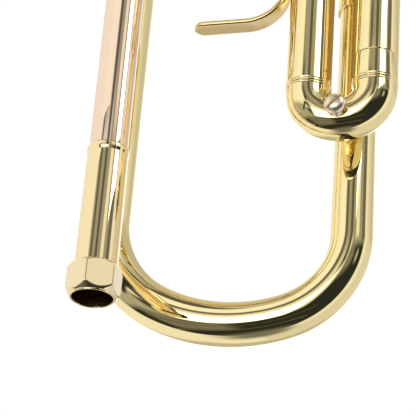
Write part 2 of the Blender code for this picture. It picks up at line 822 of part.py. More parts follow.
def make_braces():
    """Rods between the leadpipe and the bell tube, ahead of the valves and behind them."""
    lead = Vector((LEAD_X, 0, LEAD_Z))
    bell = Vector((BELL_X, 0, BELL_Z))
    across = bell - lead
    aim = across.to_track_quat("Z", "Y").to_matrix().to_4x4()
    start = LEAD_R + GAP
    flange = 1.2 * MM
    for name, y, bell_radius in (
        ("rear_brace", REAR_BRACE_Y, BELL_UPPER_R),
        ("front_brace", FRONT_BRACE_Y, bell_radius_at(FRONT_BRACE_Y + BRACE_FLANGE)),
    ):
        end = across.length - bell_radius - GAP
        profile = [
            (0, end),
            (BRACE_FLANGE, end),
            (BRACE_ROD, end - flange),
            (BRACE_ROD, start + flange),
            (BRACE_FLANGE, start),
            (0, start),
        ]
        turned(name, profile, SILVER, lead + Vector((0, y, 0)), aim, 14)


def make_finger_hook():
    """The hook for the right hand's little finger, on top of the leadpipe."""
    foot = LEAD_Z + LEAD_R + GAP + HOOK_THICK / 2
    bend = 9 * MM
    start = 26 * MM
    turn_y = start + 16 * MM
    path = [(start, foot), (turn_y, foot)]
    path += arc((turn_y, foot + bend), bend, -math.pi / 2, math.radians(150), 12)[1:]
    strip("finger_hook", path, HOOK_WIDTH, HOOK_THICK, YELLOW, LEAD_X)


make_receiver()
make_collar()
make_leadpipe()
make_tuning_sleeves()
make_knuckles()
make_bell_flare()
make_rim_wire()
make_bell_bow()
for valve_number, valve_y in enumerate(VALVE_YS, 1):
    make_valve(valve_number, valve_y)
make_crossovers()
make_first_slide()
make_second_slide()
make_third_slide()
make_tuning_slide()
make_water_key()
make_braces()
make_finger_hook()
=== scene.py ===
# %% [markdown]
# # A long-model cornet in polished brass
#
# The CAD model already fixes where every tube, valve and slide is. This notebook gives each of those
# pieces its finished surface: true round tubes, turned beads and ferrules, knurled caps, a rolled bell
# rim, and lacquered brass that mirrors a bright studio. Every place and size starts from the frame.

# %% Load the frame and measure it
import json
import math

import bmesh
import bpy
from mathutils import Matrix, Vector


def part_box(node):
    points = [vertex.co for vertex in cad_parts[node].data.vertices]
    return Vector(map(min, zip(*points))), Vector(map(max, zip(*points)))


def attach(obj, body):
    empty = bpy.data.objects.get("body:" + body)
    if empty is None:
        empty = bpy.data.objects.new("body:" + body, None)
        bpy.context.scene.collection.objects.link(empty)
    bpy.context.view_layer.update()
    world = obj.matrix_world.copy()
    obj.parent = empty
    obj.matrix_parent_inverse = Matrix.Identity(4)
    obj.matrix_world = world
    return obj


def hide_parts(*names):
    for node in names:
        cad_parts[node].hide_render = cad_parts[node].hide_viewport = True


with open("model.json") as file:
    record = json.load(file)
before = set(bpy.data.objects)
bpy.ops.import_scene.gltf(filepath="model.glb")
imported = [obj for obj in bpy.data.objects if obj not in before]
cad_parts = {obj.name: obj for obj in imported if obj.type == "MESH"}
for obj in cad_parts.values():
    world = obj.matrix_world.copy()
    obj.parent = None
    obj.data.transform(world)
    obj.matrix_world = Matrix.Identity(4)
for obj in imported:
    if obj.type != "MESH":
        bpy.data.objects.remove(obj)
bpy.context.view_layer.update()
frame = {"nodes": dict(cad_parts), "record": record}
MM = 0.001

# %% [markdown]
# ## The camera
#
# A long lens keeps parallel tubes nearly parallel. The camera stands behind the instrument on the
# player's right and a little below it, so it looks into the mouthpiece receiver and along the slides.
# It is rolled onto its side, so that forward along the bell is up in the picture.

# %% Place the camera
CAMERA_PLACE = Vector((0.4726, -0.3932, -0.1303))
CAMERA_RIGHT = Vector((-0.23254, 0.06902, -0.97013))
CAMERA_UP = Vector((0.47401, 0.87904, -0.05108))
LENS = 160.95

camera_data = bpy.data.cameras.new("side_camera")
camera_data.lens = LENS
camera_data.sensor_width = 36
camera = bpy.data.objects.new("side_camera", camera_data)
bpy.context.scene.collection.objects.link(camera)
camera_back = CAMERA_RIGHT.cross(CAMERA_UP).normalized()
camera_up = camera_back.cross(CAMERA_RIGHT).normalized()
turn = Matrix((CAMERA_RIGHT, camera_up, camera_back)).transposed()
camera.matrix_world = Matrix.Translation(CAMERA_PLACE) @ turn.to_4x4()
bpy.context.scene.camera = camera
print("camera stands", round(CAMERA_PLACE.length, 3), "m from the valves")

# %% [markdown]
# ## Reading places from the frame
#
# A straight tube's box says everything about it: the middle of the box is its axis, half the box's
# width is its radius, and the box's ends are the tube's ends. These small readers do that sum.

# %% Readers for a node's box


def middle(node):
    low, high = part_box(node)
    return (low + high) / 2


def radius(node, axis="x"):
    low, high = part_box(node)
    return (getattr(high, axis) - getattr(low, axis)) / 2


def ends(node, axis="y"):
    low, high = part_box(node)
    return getattr(low, axis), getattr(high, axis)


lead = middle("leadpipe")
bell_axis = middle("bell_rim_wire")
print("leadpipe axis at", [round(v / MM, 1) for v in (lead.x, lead.z)], "mm")
print("bell axis at", [round(v / MM, 1) for v in (bell_axis.x, bell_axis.z)], "mm")

# %% [markdown]
# ## Three ways to make a shape
#
# Nearly everything on a brass instrument is turned on a lathe, bent from tube, or bent from strip. All
# three are the same idea in mesh code: a row of rings with a skin stretched over them. For a turned
# piece the rings are circles about one axis. For a bent tube they stand square to its middle line. For
# a strip they are rounded oblongs. A mirror finish shows every flat facet, so the rings are fine.

# %% A skin over rings


def skin(name, rings, closed=False):
    """Quads from each ring to the next; the ends are capped unless the last ring meets the first."""
    count = len(rings[0])
    vertices = [point for ring in rings for point in ring]
    faces = []
    pairs = [(i, i + 1) for i in range(len(rings) - 1)]
    if closed:
        pairs.append((len(rings) - 1, 0))
    for a, b in pairs:
        for j in range(count):
            k = (j + 1) % count
            faces.append((a * count + j, a * count + k, b * count + k, b * count + j))
    if not closed:
        faces.append(tuple(reversed(range(count))))
        faces.append(tuple(range((len(rings) - 1) * count, len(rings) * count)))
    mesh = bpy.data.meshes.new(name)
    mesh.from_pydata(vertices, [], faces)
    shape = bmesh.new()
    shape.from_mesh(mesh)
    bmesh.ops.remove_doubles(shape, verts=shape.verts, dist=1e-7)
    bmesh.ops.recalc_face_normals(shape, faces=shape.faces)
    shape.to_mesh(mesh)
    shape.free()
    mesh.shade_smooth()
    mesh.set_sharp_from_angle(angle=math.radians(50))
    return mesh


# %% Rounded corners for a turned outline


def eased(outline, reach, steps=4, closed=True):
    """The outline with each corner replaced by a small curve; reach is how far back it starts."""
    result = []
    count = len(outline)
    for i, corner in enumerate(outline):
        corner = Vector(corner)
        at_end = not closed and i in (0, count - 1)
        before = Vector(outline[i - 1]) - corner
        after = Vector(outline[(i + 1) % count]) - corner
        if at_end or before.length < 1e-9 or after.length < 1e-9 or before.angle(-after) < 0.12:
            result.append(tuple(corner))
            continue
        start = corner + before.normalized() * min(reach, before.length * 0.45)
        end = corner + after.normalized() * min(reach, after.length * 0.45)
        for j in range(steps + 1):
            t = j / steps
            result.append(tuple(start * (1 - t) ** 2 + corner * 2 * t * (1 - t) + end * t**2))
    return result


# %% Turned pieces, bent tubes and strips
SIDES = 96
ALONG_X = (Vector((0, 1, 0)), Vector((0, 0, 1)), Vector((1, 0, 0)))
ALONG_Y = (Vector((0, 0, 1)), Vector((1, 0, 0)), Vector((0, 1, 0)))
ALONG_Z = (Vector((1, 0, 0)), Vector((0, 1, 0)), Vector((0, 0, 1)))


def circle(centre, size, across, up, sides=SIDES):
    turns = [2 * math.pi * j / sides for j in range(sides)]
    return [centre + across * (size * math.cos(t)) + up * (size * math.sin(t)) for t in turns]


def turned(name, outline, at, axes, ease=0.25 * MM, sides=SIDES, knurl=None):
    """outline is (radius, distance along the axis). knurl is (ridges, depth, start, end)."""
    across, up, along = axes
    on_axis = outline[0][0] < 1e-9 and outline[-1][0] < 1e-9
    line = eased(outline, ease, closed=not on_axis)
    rings = []
    for size, height in line:
        ring = []
        for j in range(sides):
            t = 2 * math.pi * j / sides
            bite = 0
            if knurl and knurl[2] <= height <= knurl[3]:
                bite = knurl[1] * (0.5 + 0.5 * math.cos(knurl[0] * t))
            reach = max(size - bite, 0)
            ring.append(at + across * (reach * math.cos(t)) + up * (reach * math.sin(t)) + along * height)
        rings.append(ring)
    return skin(name, rings, closed=not on_axis)


def bent_tube(name, line, sizes, side, sides=SIDES):
    """line lies in one plane, and side is the direction square to that plane."""
    rings = []
    for i, point in enumerate(line):
        ahead = (line[min(i + 1, len(line) - 1)] - line[max(i - 1, 0)]).normalized()
        rings.append(circle(point, sizes[i], ahead.cross(side), side, sides))
    return skin(name, rings)


def oblong(width, thick, corner, steps=5):
    """A rounded oblong, as (across, through) pairs; corner is the radius of its corners."""
    pairs = []
    for i, (sx, sy) in enumerate(((1, 1), (-1, 1), (-1, -1), (1, -1))):
        for j in range(steps + 1):
            t = math.pi / 2 * (i + j / steps)
            pairs.append((
                sx * (width / 2 - corner) + corner * math.cos(t),
                sy * (thick / 2 - corner) + corner * math.sin(t),
            ))
    return pairs


def strip(name, line, widths, thicks, side):
    """A bent strip with softened edges. widths and thicks change along it."""
    rings = []
    for i, point in enumerate(line):
        ahead = (line[min(i + 1, len(line) - 1)] - line[max(i - 1, 0)]).normalized()
        out = ahead.cross(side)
        corner = min(widths[i], thicks[i]) * 0.42
        rings.append([point + side * a + out * b for a, b in oblong(widths[i], thicks[i], corner)])
    return skin(name, rings)


def add(mesh, finish, slot, body, *nodes):
    """Puts a mesh in the scene as a piece that rides on a body and stands for some CAD nodes."""
    piece = bpy.data.objects.new(mesh.name, mesh)
    bpy.context.scene.collection.objects.link(piece)
    mesh.materials.append(finish)
    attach(piece, body)
    if nodes:
        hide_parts(*nodes)
    return piece

# %% [markdown]
# ## The finishes
#
# The bell, bows and slides are yellow brass, the leadpipe is redder brass with more copper, and the
# collar, screws and braces are paler nickel alloys, all polished and lacquered. A polished metal takes
# its colour from one number only, its tint, so that is set on the shader. What makes it real is what
# disturbs the mirror: soft hand-polishing waves, hair-fine wiping marks and slightly duller patches.
# Waves are a faint bump, and the marks and patches change the roughness.

# %% Polished metal
bpy.context.scene.view_settings.view_transform = "Standard"


def polished(name, tint, smooth, dull, wave=0.0, stain=0.03):
    """smooth and dull are the least and greatest roughness; stain is how much the tint may darken."""
    metal = bpy.data.materials.new(name)
    metal.use_nodes = True
    nodes, links = metal.node_tree.nodes, metal.node_tree.links
    shader = nodes["Principled BSDF"]
    shader.inputs["Metallic"].default_value = 1.0
    place = nodes.new("ShaderNodeTexCoord")

    patches = nodes.new("ShaderNodeTexNoise")
    patches.inputs["Scale"].default_value = 70
    patches.inputs["Detail"].default_value = 3
    links.new(place.outputs["Object"], patches.inputs["Vector"])
    wiping = nodes.new("ShaderNodeTexNoise")
    wiping.inputs["Scale"].default_value = 1400
    wiping.inputs["Detail"].default_value = 4
    links.new(place.outputs["Object"], wiping.inputs["Vector"])

    blend = nodes.new("ShaderNodeMath")
    blend.operation = "MULTIPLY"
    links.new(patches.outputs["Fac"], blend.inputs[0])
    links.new(wiping.outputs["Fac"], blend.inputs[1])
    rough = nodes.new("ShaderNodeMapRange")
    rough.inputs["From Min"].default_value = 0.15
    rough.inputs["From Max"].default_value = 0.45
    rough.inputs["To Min"].default_value = smooth
    rough.inputs["To Max"].default_value = dull
    links.new(blend.outputs["Value"], rough.inputs["Value"])
    links.new(rough.outputs["Result"], shader.inputs["Roughness"])

    shade = nodes.new("ShaderNodeMix")
    shade.data_type = "RGBA"
    shade.inputs["A"].default_value = (*tint, 1)
    shade.inputs["B"].default_value = (*[c * (1 - stain * (1 + i)) for i, c in enumerate(tint)], 1)
    links.new(patches.outputs["Fac"], shade.inputs["Factor"])
    links.new(shade.outputs["Result"], shader.inputs["Base Color"])

    if wave:
        swell = nodes.new("ShaderNodeTexNoise")
        swell.inputs["Scale"].default_value = 120
        swell.inputs["Detail"].default_value = 1
        links.new(place.outputs["Object"], swell.inputs["Vector"])
        bump = nodes.new("ShaderNodeBump")
        bump.inputs["Strength"].default_value = 1.0
        bump.inputs["Distance"].default_value = wave
        links.new(swell.outputs["Fac"], bump.inputs["Height"])
        links.new(bump.outputs["Normal"], shader.inputs["Normal"])
    return metal


yellow = polished("yellow_brass_lacquered", (0.955, 0.815, 0.44), 0.03, 0.07, 0.00001)
cream = polished("receiver_brass_lacquered", (0.95, 0.79, 0.47), 0.01, 0.03)
rose = polished("rose_brass_lacquered", (0.93, 0.74, 0.57), 0.01, 0.03)
pale = polished("pale_brass_polished", (0.90, 0.765, 0.50), 0.05, 0.1)
deep = polished("saddle_brass_satin", (0.92, 0.70, 0.36), 0.13, 0.24)
champagne = polished("screw_alloy_polished", (0.98, 0.86, 0.67), 0.3, 0.4)
bare = polished("bare_bore_brass", (0.34, 0.21, 0.10), 0.3, 0.42, stain=0.12)
nickel = polished("nickel_silver_polished", (0.85, 0.80, 0.72), 0.07, 0.16)
monel = polished("valve_alloy_satin", (0.62, 0.61, 0.59), 0.18, 0.3)


# %% [markdown]
# ## Pearl, cork and felt
#
# The finger buttons hold discs of shell, which is milky, with slow curls of pink and green. Cork seals
# the water key, and a felt ring quiets each valve. None is metal, so each has its own small mixture of
# noises for colour, with a bump of the same scale.

# %% The soft and stony finishes


def natural(name, dark, light, scale, roughness, bump_depth, detail=4, distortion=0.0):
    stuff = bpy.data.materials.new(name)
    stuff.use_nodes = True
    nodes, links = stuff.node_tree.nodes, stuff.node_tree.links
    shader = nodes["Principled BSDF"]
    shader.inputs["Roughness"].default_value = roughness
    place = nodes.new("ShaderNodeTexCoord")
    grain = nodes.new("ShaderNodeTexNoise")
    grain.inputs["Scale"].default_value = scale
    grain.inputs["Detail"].default_value = detail
    grain.inputs["Distortion"].default_value = distortion
    links.new(place.outputs["Object"], grain.inputs["Vector"])
    ramp = nodes.new("ShaderNodeValToRGB")
    ramp.color_ramp.elements[0].position = 0.35
    ramp.color_ramp.elements[0].color = (*dark, 1)
    ramp.color_ramp.elements[1].position = 0.65
    ramp.color_ramp.elements[1].color = (*light, 1)
    links.new(grain.outputs["Fac"], ramp.inputs["Fac"])
    links.new(ramp.outputs["Color"], shader.inputs["Base Color"])
    bump = nodes.new("ShaderNodeBump")
    bump.inputs["Strength"].default_value = 1.0
    bump.inputs["Distance"].default_value = bump_depth
    links.new(grain.outputs["Fac"], bump.inputs["Height"])
    links.new(bump.outputs["Normal"], shader.inputs["Normal"])
    return stuff


pearl = natural("shell_pearl", (0.80, 0.74, 0.70), (0.93, 0.93, 0.88), 260, 0.12, 0.000002, 2, 3.0)
cork = natural("water_key_cork", (0.30, 0.17, 0.09), (0.60, 0.41, 0.24), 1500, 0.85, 0.00015)
felt = natural("valve_felt", (0.02, 0.05, 0.03), (0.05, 0.10, 0.06), 3000, 0.95, 0.00025)

# %% [markdown]
# ## Receiver and collar
#
# The mouthpiece goes into the receiver, a thick tube that narrows inside and swells a little outside.
# A six-sided collar is brazed round its mouth. Its flats end in curves because the corners were turned
# off on a lathe, so the collar is made the same way: each ring of points is a hexagon with soft
# corners, held within the circle that the turning tool left.

# %% The receiver
receiver_low, receiver_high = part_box("mouthpiece_receiver")
MOUTH = receiver_low.y
RECEIVER_FRONT = receiver_high.y
RECEIVER_R = radius("mouthpiece_receiver")
RECEIVER_NECK = RECEIVER_R - 0.22 * MM
SOCKET = 6.1 * MM
SOCKET_THROAT = 4.9 * MM
SOCKET_DEPTH = 26 * MM
LEAD_R = radius("leadpipe")
on_lead = Vector((lead.x, 0, lead.z))
receiver_outline = [
    (SOCKET, MOUTH),
    (RECEIVER_R + 0.1 * MM, MOUTH),
    (RECEIVER_R + 0.1 * MM, MOUTH + 9 * MM),
    (RECEIVER_R, MOUTH + 11 * MM),
    (RECEIVER_NECK, RECEIVER_FRONT - 2.8 * MM),
    (RECEIVER_R - 0.03 * MM, RECEIVER_FRONT - 1.7 * MM),
    (RECEIVER_R - 0.03 * MM, RECEIVER_FRONT - 0.7 * MM),
    (RECEIVER_R - 0.32 * MM, RECEIVER_FRONT),
    (LEAD_R - 0.05 * MM, RECEIVER_FRONT - 0.5 * MM),
    (SOCKET_THROAT, RECEIVER_FRONT - 0.5 * MM),
    (SOCKET_THROAT, MOUTH + SOCKET_DEPTH),
]
add(
    turned("receiver_tube", receiver_outline, on_lead, ALONG_Y, 0.3 * MM, 144),
    cream, "yellow_brass", "body", "mouthpiece_receiver",
)
LINER = 0.08 * MM
liner_outline = [
    (SOCKET - 0.01 * MM, MOUTH + 0.4 * MM),
    (SOCKET_THROAT - 0.01 * MM, MOUTH + SOCKET_DEPTH),
    (SOCKET_THROAT - LINER, MOUTH + SOCKET_DEPTH),
    (SOCKET - LINER, MOUTH + 0.4 * MM),
]
add(turned("receiver_bore", liner_outline, on_lead, ALONG_Y, 0, 96), bare, "yellow_brass", "body")
print("receiver", round((RECEIVER_FRONT - MOUTH) / MM, 1), "mm long")

# %% The collar, a hexagon with turned-off corners
FLATS = middle("receiver_collar").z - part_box("receiver_collar")[0].z
COLLAR_BACK, COLLAR_FRONT = ends("receiver_collar")
COLLAR_CORNER_SHARPNESS = 90
COLLAR_BACK_R = 6.75 * MM
COLLAR_FRONT_R = 7.0 * MM


def collar_reach(turn, height):
    """How far the collar's surface is from its axis."""
    back_cone = COLLAR_BACK_R + (height - COLLAR_BACK) * 0.85
    front_cone = COLLAR_FRONT_R + (COLLAR_FRONT - height) * 1.0
    total = (back_cone / MM) ** -COLLAR_CORNER_SHARPNESS
    total += (front_cone / MM) ** -COLLAR_CORNER_SHARPNESS
    for i in range(6):
        facing = math.cos(turn - math.radians(30 + 60 * i))
        if facing > 0.1:
            total += (FLATS / facing / MM) ** -COLLAR_CORNER_SHARPNESS
    return total ** (-1 / COLLAR_CORNER_SHARPNESS) * MM


COLLAR_SIDES = 360
heights = [COLLAR_BACK + (COLLAR_FRONT - COLLAR_BACK) * i / 60 for i in range(61)]
collar_rings = []
for height in heights:
    ring = []
    for j in range(COLLAR_SIDES):
        t = 2 * math.pi * j / COLLAR_SIDES
        reach = collar_reach(t, height)
        ring.append(Vector((lead.x + reach * math.cos(t), height, lead.z + reach * math.sin(t))))
    collar_rings.append(ring)
for height in (COLLAR_FRONT, COLLAR_BACK):
    centre = Vector((lead.x, height, lead.z))
    collar_rings.append(circle(centre, RECEIVER_R, Vector((1, 0, 0)), Vector((0, 0, 1)), COLLAR_SIDES))
add(
    skin("hex_collar", collar_rings, closed=True), pale, "pale_brass", "body", "receiver_collar"
)
print("collar", round(2 * FLATS / MM, 1), "mm across its flats")

# %% [markdown]
# ## Leadpipe and sleeves
#
# The leadpipe is a plain tube of redder brass, soldered into the receiver. Its far end slips inside the
# upper outer slide of the main tuning slide. Each sleeve ends in a turned bead, which stiffens the
# mouth of the tube and gives the fingers a grip.

# %% The leadpipe
lead_back, lead_front = ends("leadpipe")
lead_outline = [
    (LEAD_R - 0.6 * MM, lead_back - 3 * MM),
    (LEAD_R - 0.04 * MM, lead_back - 3 * MM),
    (LEAD_R, lead_front + 3 * MM),
    (LEAD_R - 0.6 * MM, lead_front + 3 * MM),
]
add(turned("leadpipe_tube", lead_outline, on_lead, ALONG_Y, 0.1 * MM, 144),
    rose, "rose_brass", "body", "leadpipe")

# %% A sleeve with a bead at its mouth
SLEEVE_R = radius("first_sleeve_upper")
BEAD_R = SLEEVE_R + 0.1 * MM
GROOVE = 0.14 * MM
INNER_R = SLEEVE_R - 0.64 * MM
BEAD_LENGTH = 1.8 * MM


def sleeve(name, start, end, at, axes, finish, slot, body, *nodes, beads=2, inner=None):
    """A tube from start to its mouth at end, with a double bead round the mouth."""
    way = math.copysign(1, end - start)
    inner = inner or INNER_R
    outline = [(inner, start), (SLEEVE_R, start)]
    if beads:
        pitch = BEAD_LENGTH / beads
        outline.append((SLEEVE_R, end - way * (BEAD_LENGTH + 0.25 * MM)))
        outline.append((SLEEVE_R - GROOVE, end - way * BEAD_LENGTH))
        for i in range(beads):
            back = end - way * (BEAD_LENGTH - i * pitch)
            outline += [(BEAD_R, back + way * pitch * 0.22), (BEAD_R, back + way * pitch * 0.78)]
            outline.append((SLEEVE_R - GROOVE, back + way * pitch))
    else:
        outline.append((SLEEVE_R, end))
    outline.append((inner, end))
    return add(turned(name, outline, at, axes, 0.22 * MM), finish, slot, body, *nodes)


for node in ("tuning_sleeve_upper", "tuning_sleeve_lower"):
    back, front = ends(node)
    centre = middle(node)
    at = Vector((centre.x, 0, centre.z))
    sleeve(node + "_tube", back, front, at, ALONG_Y, yellow, "yellow_brass", "body", node, beads=1)
print("sleeves", round(2 * SLEEVE_R / MM, 1), "mm across, beads", round(2 * BEAD_R / MM, 1))

# %% [markdown]
# ## The bell
#
# The bell is one long horn: a flare hammered and spun thin, then a tube that turns back on itself at
# the rear and narrows all the way to the first valve. It is bent as a single piece, so that no seam
# breaks the mirror. The rear bow isn't a half circle: two rounder corners are joined by a flatter back.

# %% The bell's middle line and how wide it is there
RIM_Y = bell_axis.y
WIRE_R = radius("bell_rim_wire", "y")
RIM_R = radius("bell_rim_wire") - 2 * WIRE_R - 0.3 * MM
FLARE_LAG = 13.8 * MM
FLARE_POWER = 0.72
BELL_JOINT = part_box("bell_flare")[0].y
BELL_TUBE_R = 7.7 * MM
BOW_R = 6.9 * MM
TAIL_R = 6.15 * MM
BOW_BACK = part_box("bell_bow")[0].y + BOW_R
TAIL_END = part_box("bell_tail_ferrule")[0].y
TOP_CORNER = (35.3 * MM, math.radians(60.3))
LOW_CORNER = (26.8 * MM, math.radians(74.8))
BELL_THICKNESS = 0.55 * MM


def flare(y):
    wide = RIM_R * (FLARE_LAG / (RIM_Y - y + FLARE_LAG)) ** FLARE_POWER
    start = RIM_R * (FLARE_LAG / (RIM_Y - BELL_JOINT + FLARE_LAG)) ** FLARE_POWER
    return wide + (BELL_TUBE_R - start) * (RIM_Y - y) / (RIM_Y - BELL_JOINT)


def bow_line():
    """(y, z) of the rear bow: a round corner, a flatter back and a tighter corner, all tangent."""
    height = bell_axis.z
    (top_r, top_turn), (low_r, low_turn) = TOP_CORNER, LOW_CORNER
    span = 2 * height - top_r * (1 - math.cos(top_turn)) - low_r * (1 - math.cos(low_turn))
    back_r = span / (math.cos(top_turn) + math.cos(low_turn))
    y, z = 0.0, height
    points = [(y, z)]
    for size, start, end, steps in (
        (top_r, 0, top_turn, 44),
        (back_r, top_turn, math.pi - low_turn, 32),
        (low_r, math.pi - low_turn, math.pi, 40),
    ):
        from_y, from_z = y, z
        for i in range(1, steps + 1):
            t = start + (end - start) * i / steps
            y = from_y - size * (math.sin(t) - math.sin(start))
            z = from_z - size * (math.cos(start) - math.cos(t))
            points.append((y, z))
    back = min(y for y, z in points)
    return [(y - back + BOW_BACK, z) for y, z in points]


bow = bow_line()
straight = [BELL_JOINT + (bow[0][0] - BELL_JOINT) * i / 30 for i in range(30)]
tail = [bow[-1][0] + (TAIL_END + 8 * MM - bow[-1][0]) * i / 24 for i in range(1, 25)]
horn = [(y, bell_axis.z) for y in straight] + bow + [(y, -bell_axis.z) for y in tail]
lengths = [0.0]
for (y0, z0), (y1, z1) in zip(horn, horn[1:]):
    lengths.append(lengths[-1] + math.hypot(y1 - y0, z1 - z0))
back_at = lengths[min(range(len(horn)), key=lambda i: horn[i][0])]
horn_sizes = []
for length in lengths:
    if length < back_at:
        horn_sizes.append(BELL_TUBE_R + (BOW_R - BELL_TUBE_R) * length / back_at)
    else:
        part = (length - back_at) / (lengths[-1] - back_at)
        horn_sizes.append(BOW_R + (TAIL_R - BOW_R) * part)
FLARE_RINGS = 110
flare_ys = [RIM_Y - (RIM_Y - BELL_JOINT) * (i / FLARE_RINGS) ** 2 for i in range(FLARE_RINGS)]
horn = [(y, bell_axis.z) for y in flare_ys] + horn
horn_sizes = [flare(y) for y in flare_ys] + horn_sizes
for sweep in range(6):
    for i in range(FLARE_RINGS - 12, FLARE_RINGS + 12):
        horn_sizes[i] = (horn_sizes[i - 1] + 2 * horn_sizes[i] + horn_sizes[i + 1]) / 4
print("bell tube", round((lengths[-1] + RIM_Y - BELL_JOINT) / MM), "mm long")

# %% Skin the bell, then give the sheet its thickness
horn_line = [Vector((bell_axis.x, y, z)) for y, z in horn]
bell_rings = []
for i, point in enumerate(horn_line):
    ahead = (horn_line[min(i + 1, len(horn_line) - 1)] - horn_line[max(i - 1, 0)]).normalized()
    bell_rings.append(circle(point, horn_sizes[i], ahead.cross(Vector((1, 0, 0))), Vector((1, 0, 0)), 128))
inside = [
    circle(
        point + Vector((0, -BELL_THICKNESS * 0.7 if i < 30 else 0, 0)),
        horn_sizes[i] - BELL_THICKNESS,
        (horn_line[min(i + 1, len(horn_line) - 1)] - horn_line[max(i - 1, 0)]).normalized().cross(
            Vector((1, 0, 0))
        ),
        Vector((1, 0, 0)),
        128,
    )
    for i, point in enumerate(horn_line)
]
add(
    skin("bell_horn", bell_rings + list(reversed(inside)), closed=True),
    yellow, "yellow_brass", "body", "bell_flare", "bell_bow",
)

# %% The rolled rim
rim_outline = [
    (radius("bell_rim_wire") - WIRE_R + WIRE_R * math.cos(t), RIM_Y + WIRE_R * math.sin(t))
    for t in [2 * math.pi * i / 24 for i in range(24)]
]
on_bell = Vector((bell_axis.x, 0, bell_axis.z))
add(turned("bell_rolled_rim", rim_outline, on_bell, ALONG_Y, 0, 160),
    yellow, "yellow_brass", "body", "bell_rim_wire")

# %% [markdown]
# ## The tubes that join the valves
#
# Where a tube meets a valve it turns in through a short knuckle, and neighbouring valves are joined by
# short straight passages. The knuckles are bent tube, and their ends are buried in the casings.

# %% Knuckles, tail ferrule and crossovers
CASING_R = radius("valve_casing_2")
CROOK_R = radius("main_knuckle", "z")
KNUCKLE_BEND = 10 * MM
valve_ys = [middle(f"valve_casing_{i}").y for i in (1, 2, 3)]


def knuckle(node, side_x, start_y, valve_y, height):
    way = math.copysign(1, valve_y - start_y)
    hand = math.copysign(1, side_x)
    line = [Vector((side_x, start_y - way * 6 * MM, height)), Vector((side_x, start_y, height))]
    corner_y = valve_y - way * KNUCKLE_BEND
    for i in range(25):
        t = math.pi / 2 * i / 24
        x = side_x - hand * KNUCKLE_BEND * (1 - math.cos(t))
        line.append(Vector((x, corner_y + way * KNUCKLE_BEND * math.sin(t), height)))
    line.append(Vector((hand * CASING_R * 0.7, valve_y, height)))
    mesh = bent_tube(node + "_tube", line, [CROOK_R] * len(line), Vector((0, 0, 1)))
    add(mesh, yellow, "yellow_brass", "body", node)


main_low = middle("tuning_sleeve_lower")
knuckle("main_knuckle", lead.x, ends("tuning_sleeve_lower")[0], valve_ys[2], main_low.z)
knuckle("bell_knuckle", bell_axis.x, ends("bell_tail_ferrule")[1], valve_ys[0], -bell_axis.z)
ferrule_back, ferrule_front = ends("bell_tail_ferrule")
ferrule_r = radius("bell_tail_ferrule")
ferrule_outline = [
    (TAIL_R - 0.5 * MM, ferrule_back),
    (ferrule_r, ferrule_back),
    (ferrule_r, ferrule_front),
    (TAIL_R - 0.5 * MM, ferrule_front),
]
on_tail = Vector((bell_axis.x, 0, -bell_axis.z))
add(turned("tail_ferrule", ferrule_outline, on_tail, ALONG_Y, 0.3 * MM),
    yellow, "yellow_brass", "body", "bell_tail_ferrule")
for i in (1, 2):
    node = f"crossover_{i}"
    centre = middle(node)
    half = (valve_ys[1] - valve_ys[0]) / 2
    outline = [(0, -half), (radius(node), -half), (radius(node), half), (0, half)]
    add(turned(node + "_tube", outline, centre, ALONG_Y), yellow, "yellow_brass", "body", node)
print("valve pitch", round((valve_ys[1] - valve_ys[0]) / MM, 1), "mm")

# %% [markdown]
# ## The valves
#
# Each casing is a straight tube with a screwed cap at either end. The caps are knurled, which means
# rolled with fine ridges so that fingers can turn them, and the ridges are cut into the rings of the
# turned shape. The piston, its stem, the finger button and its pearl all travel together.

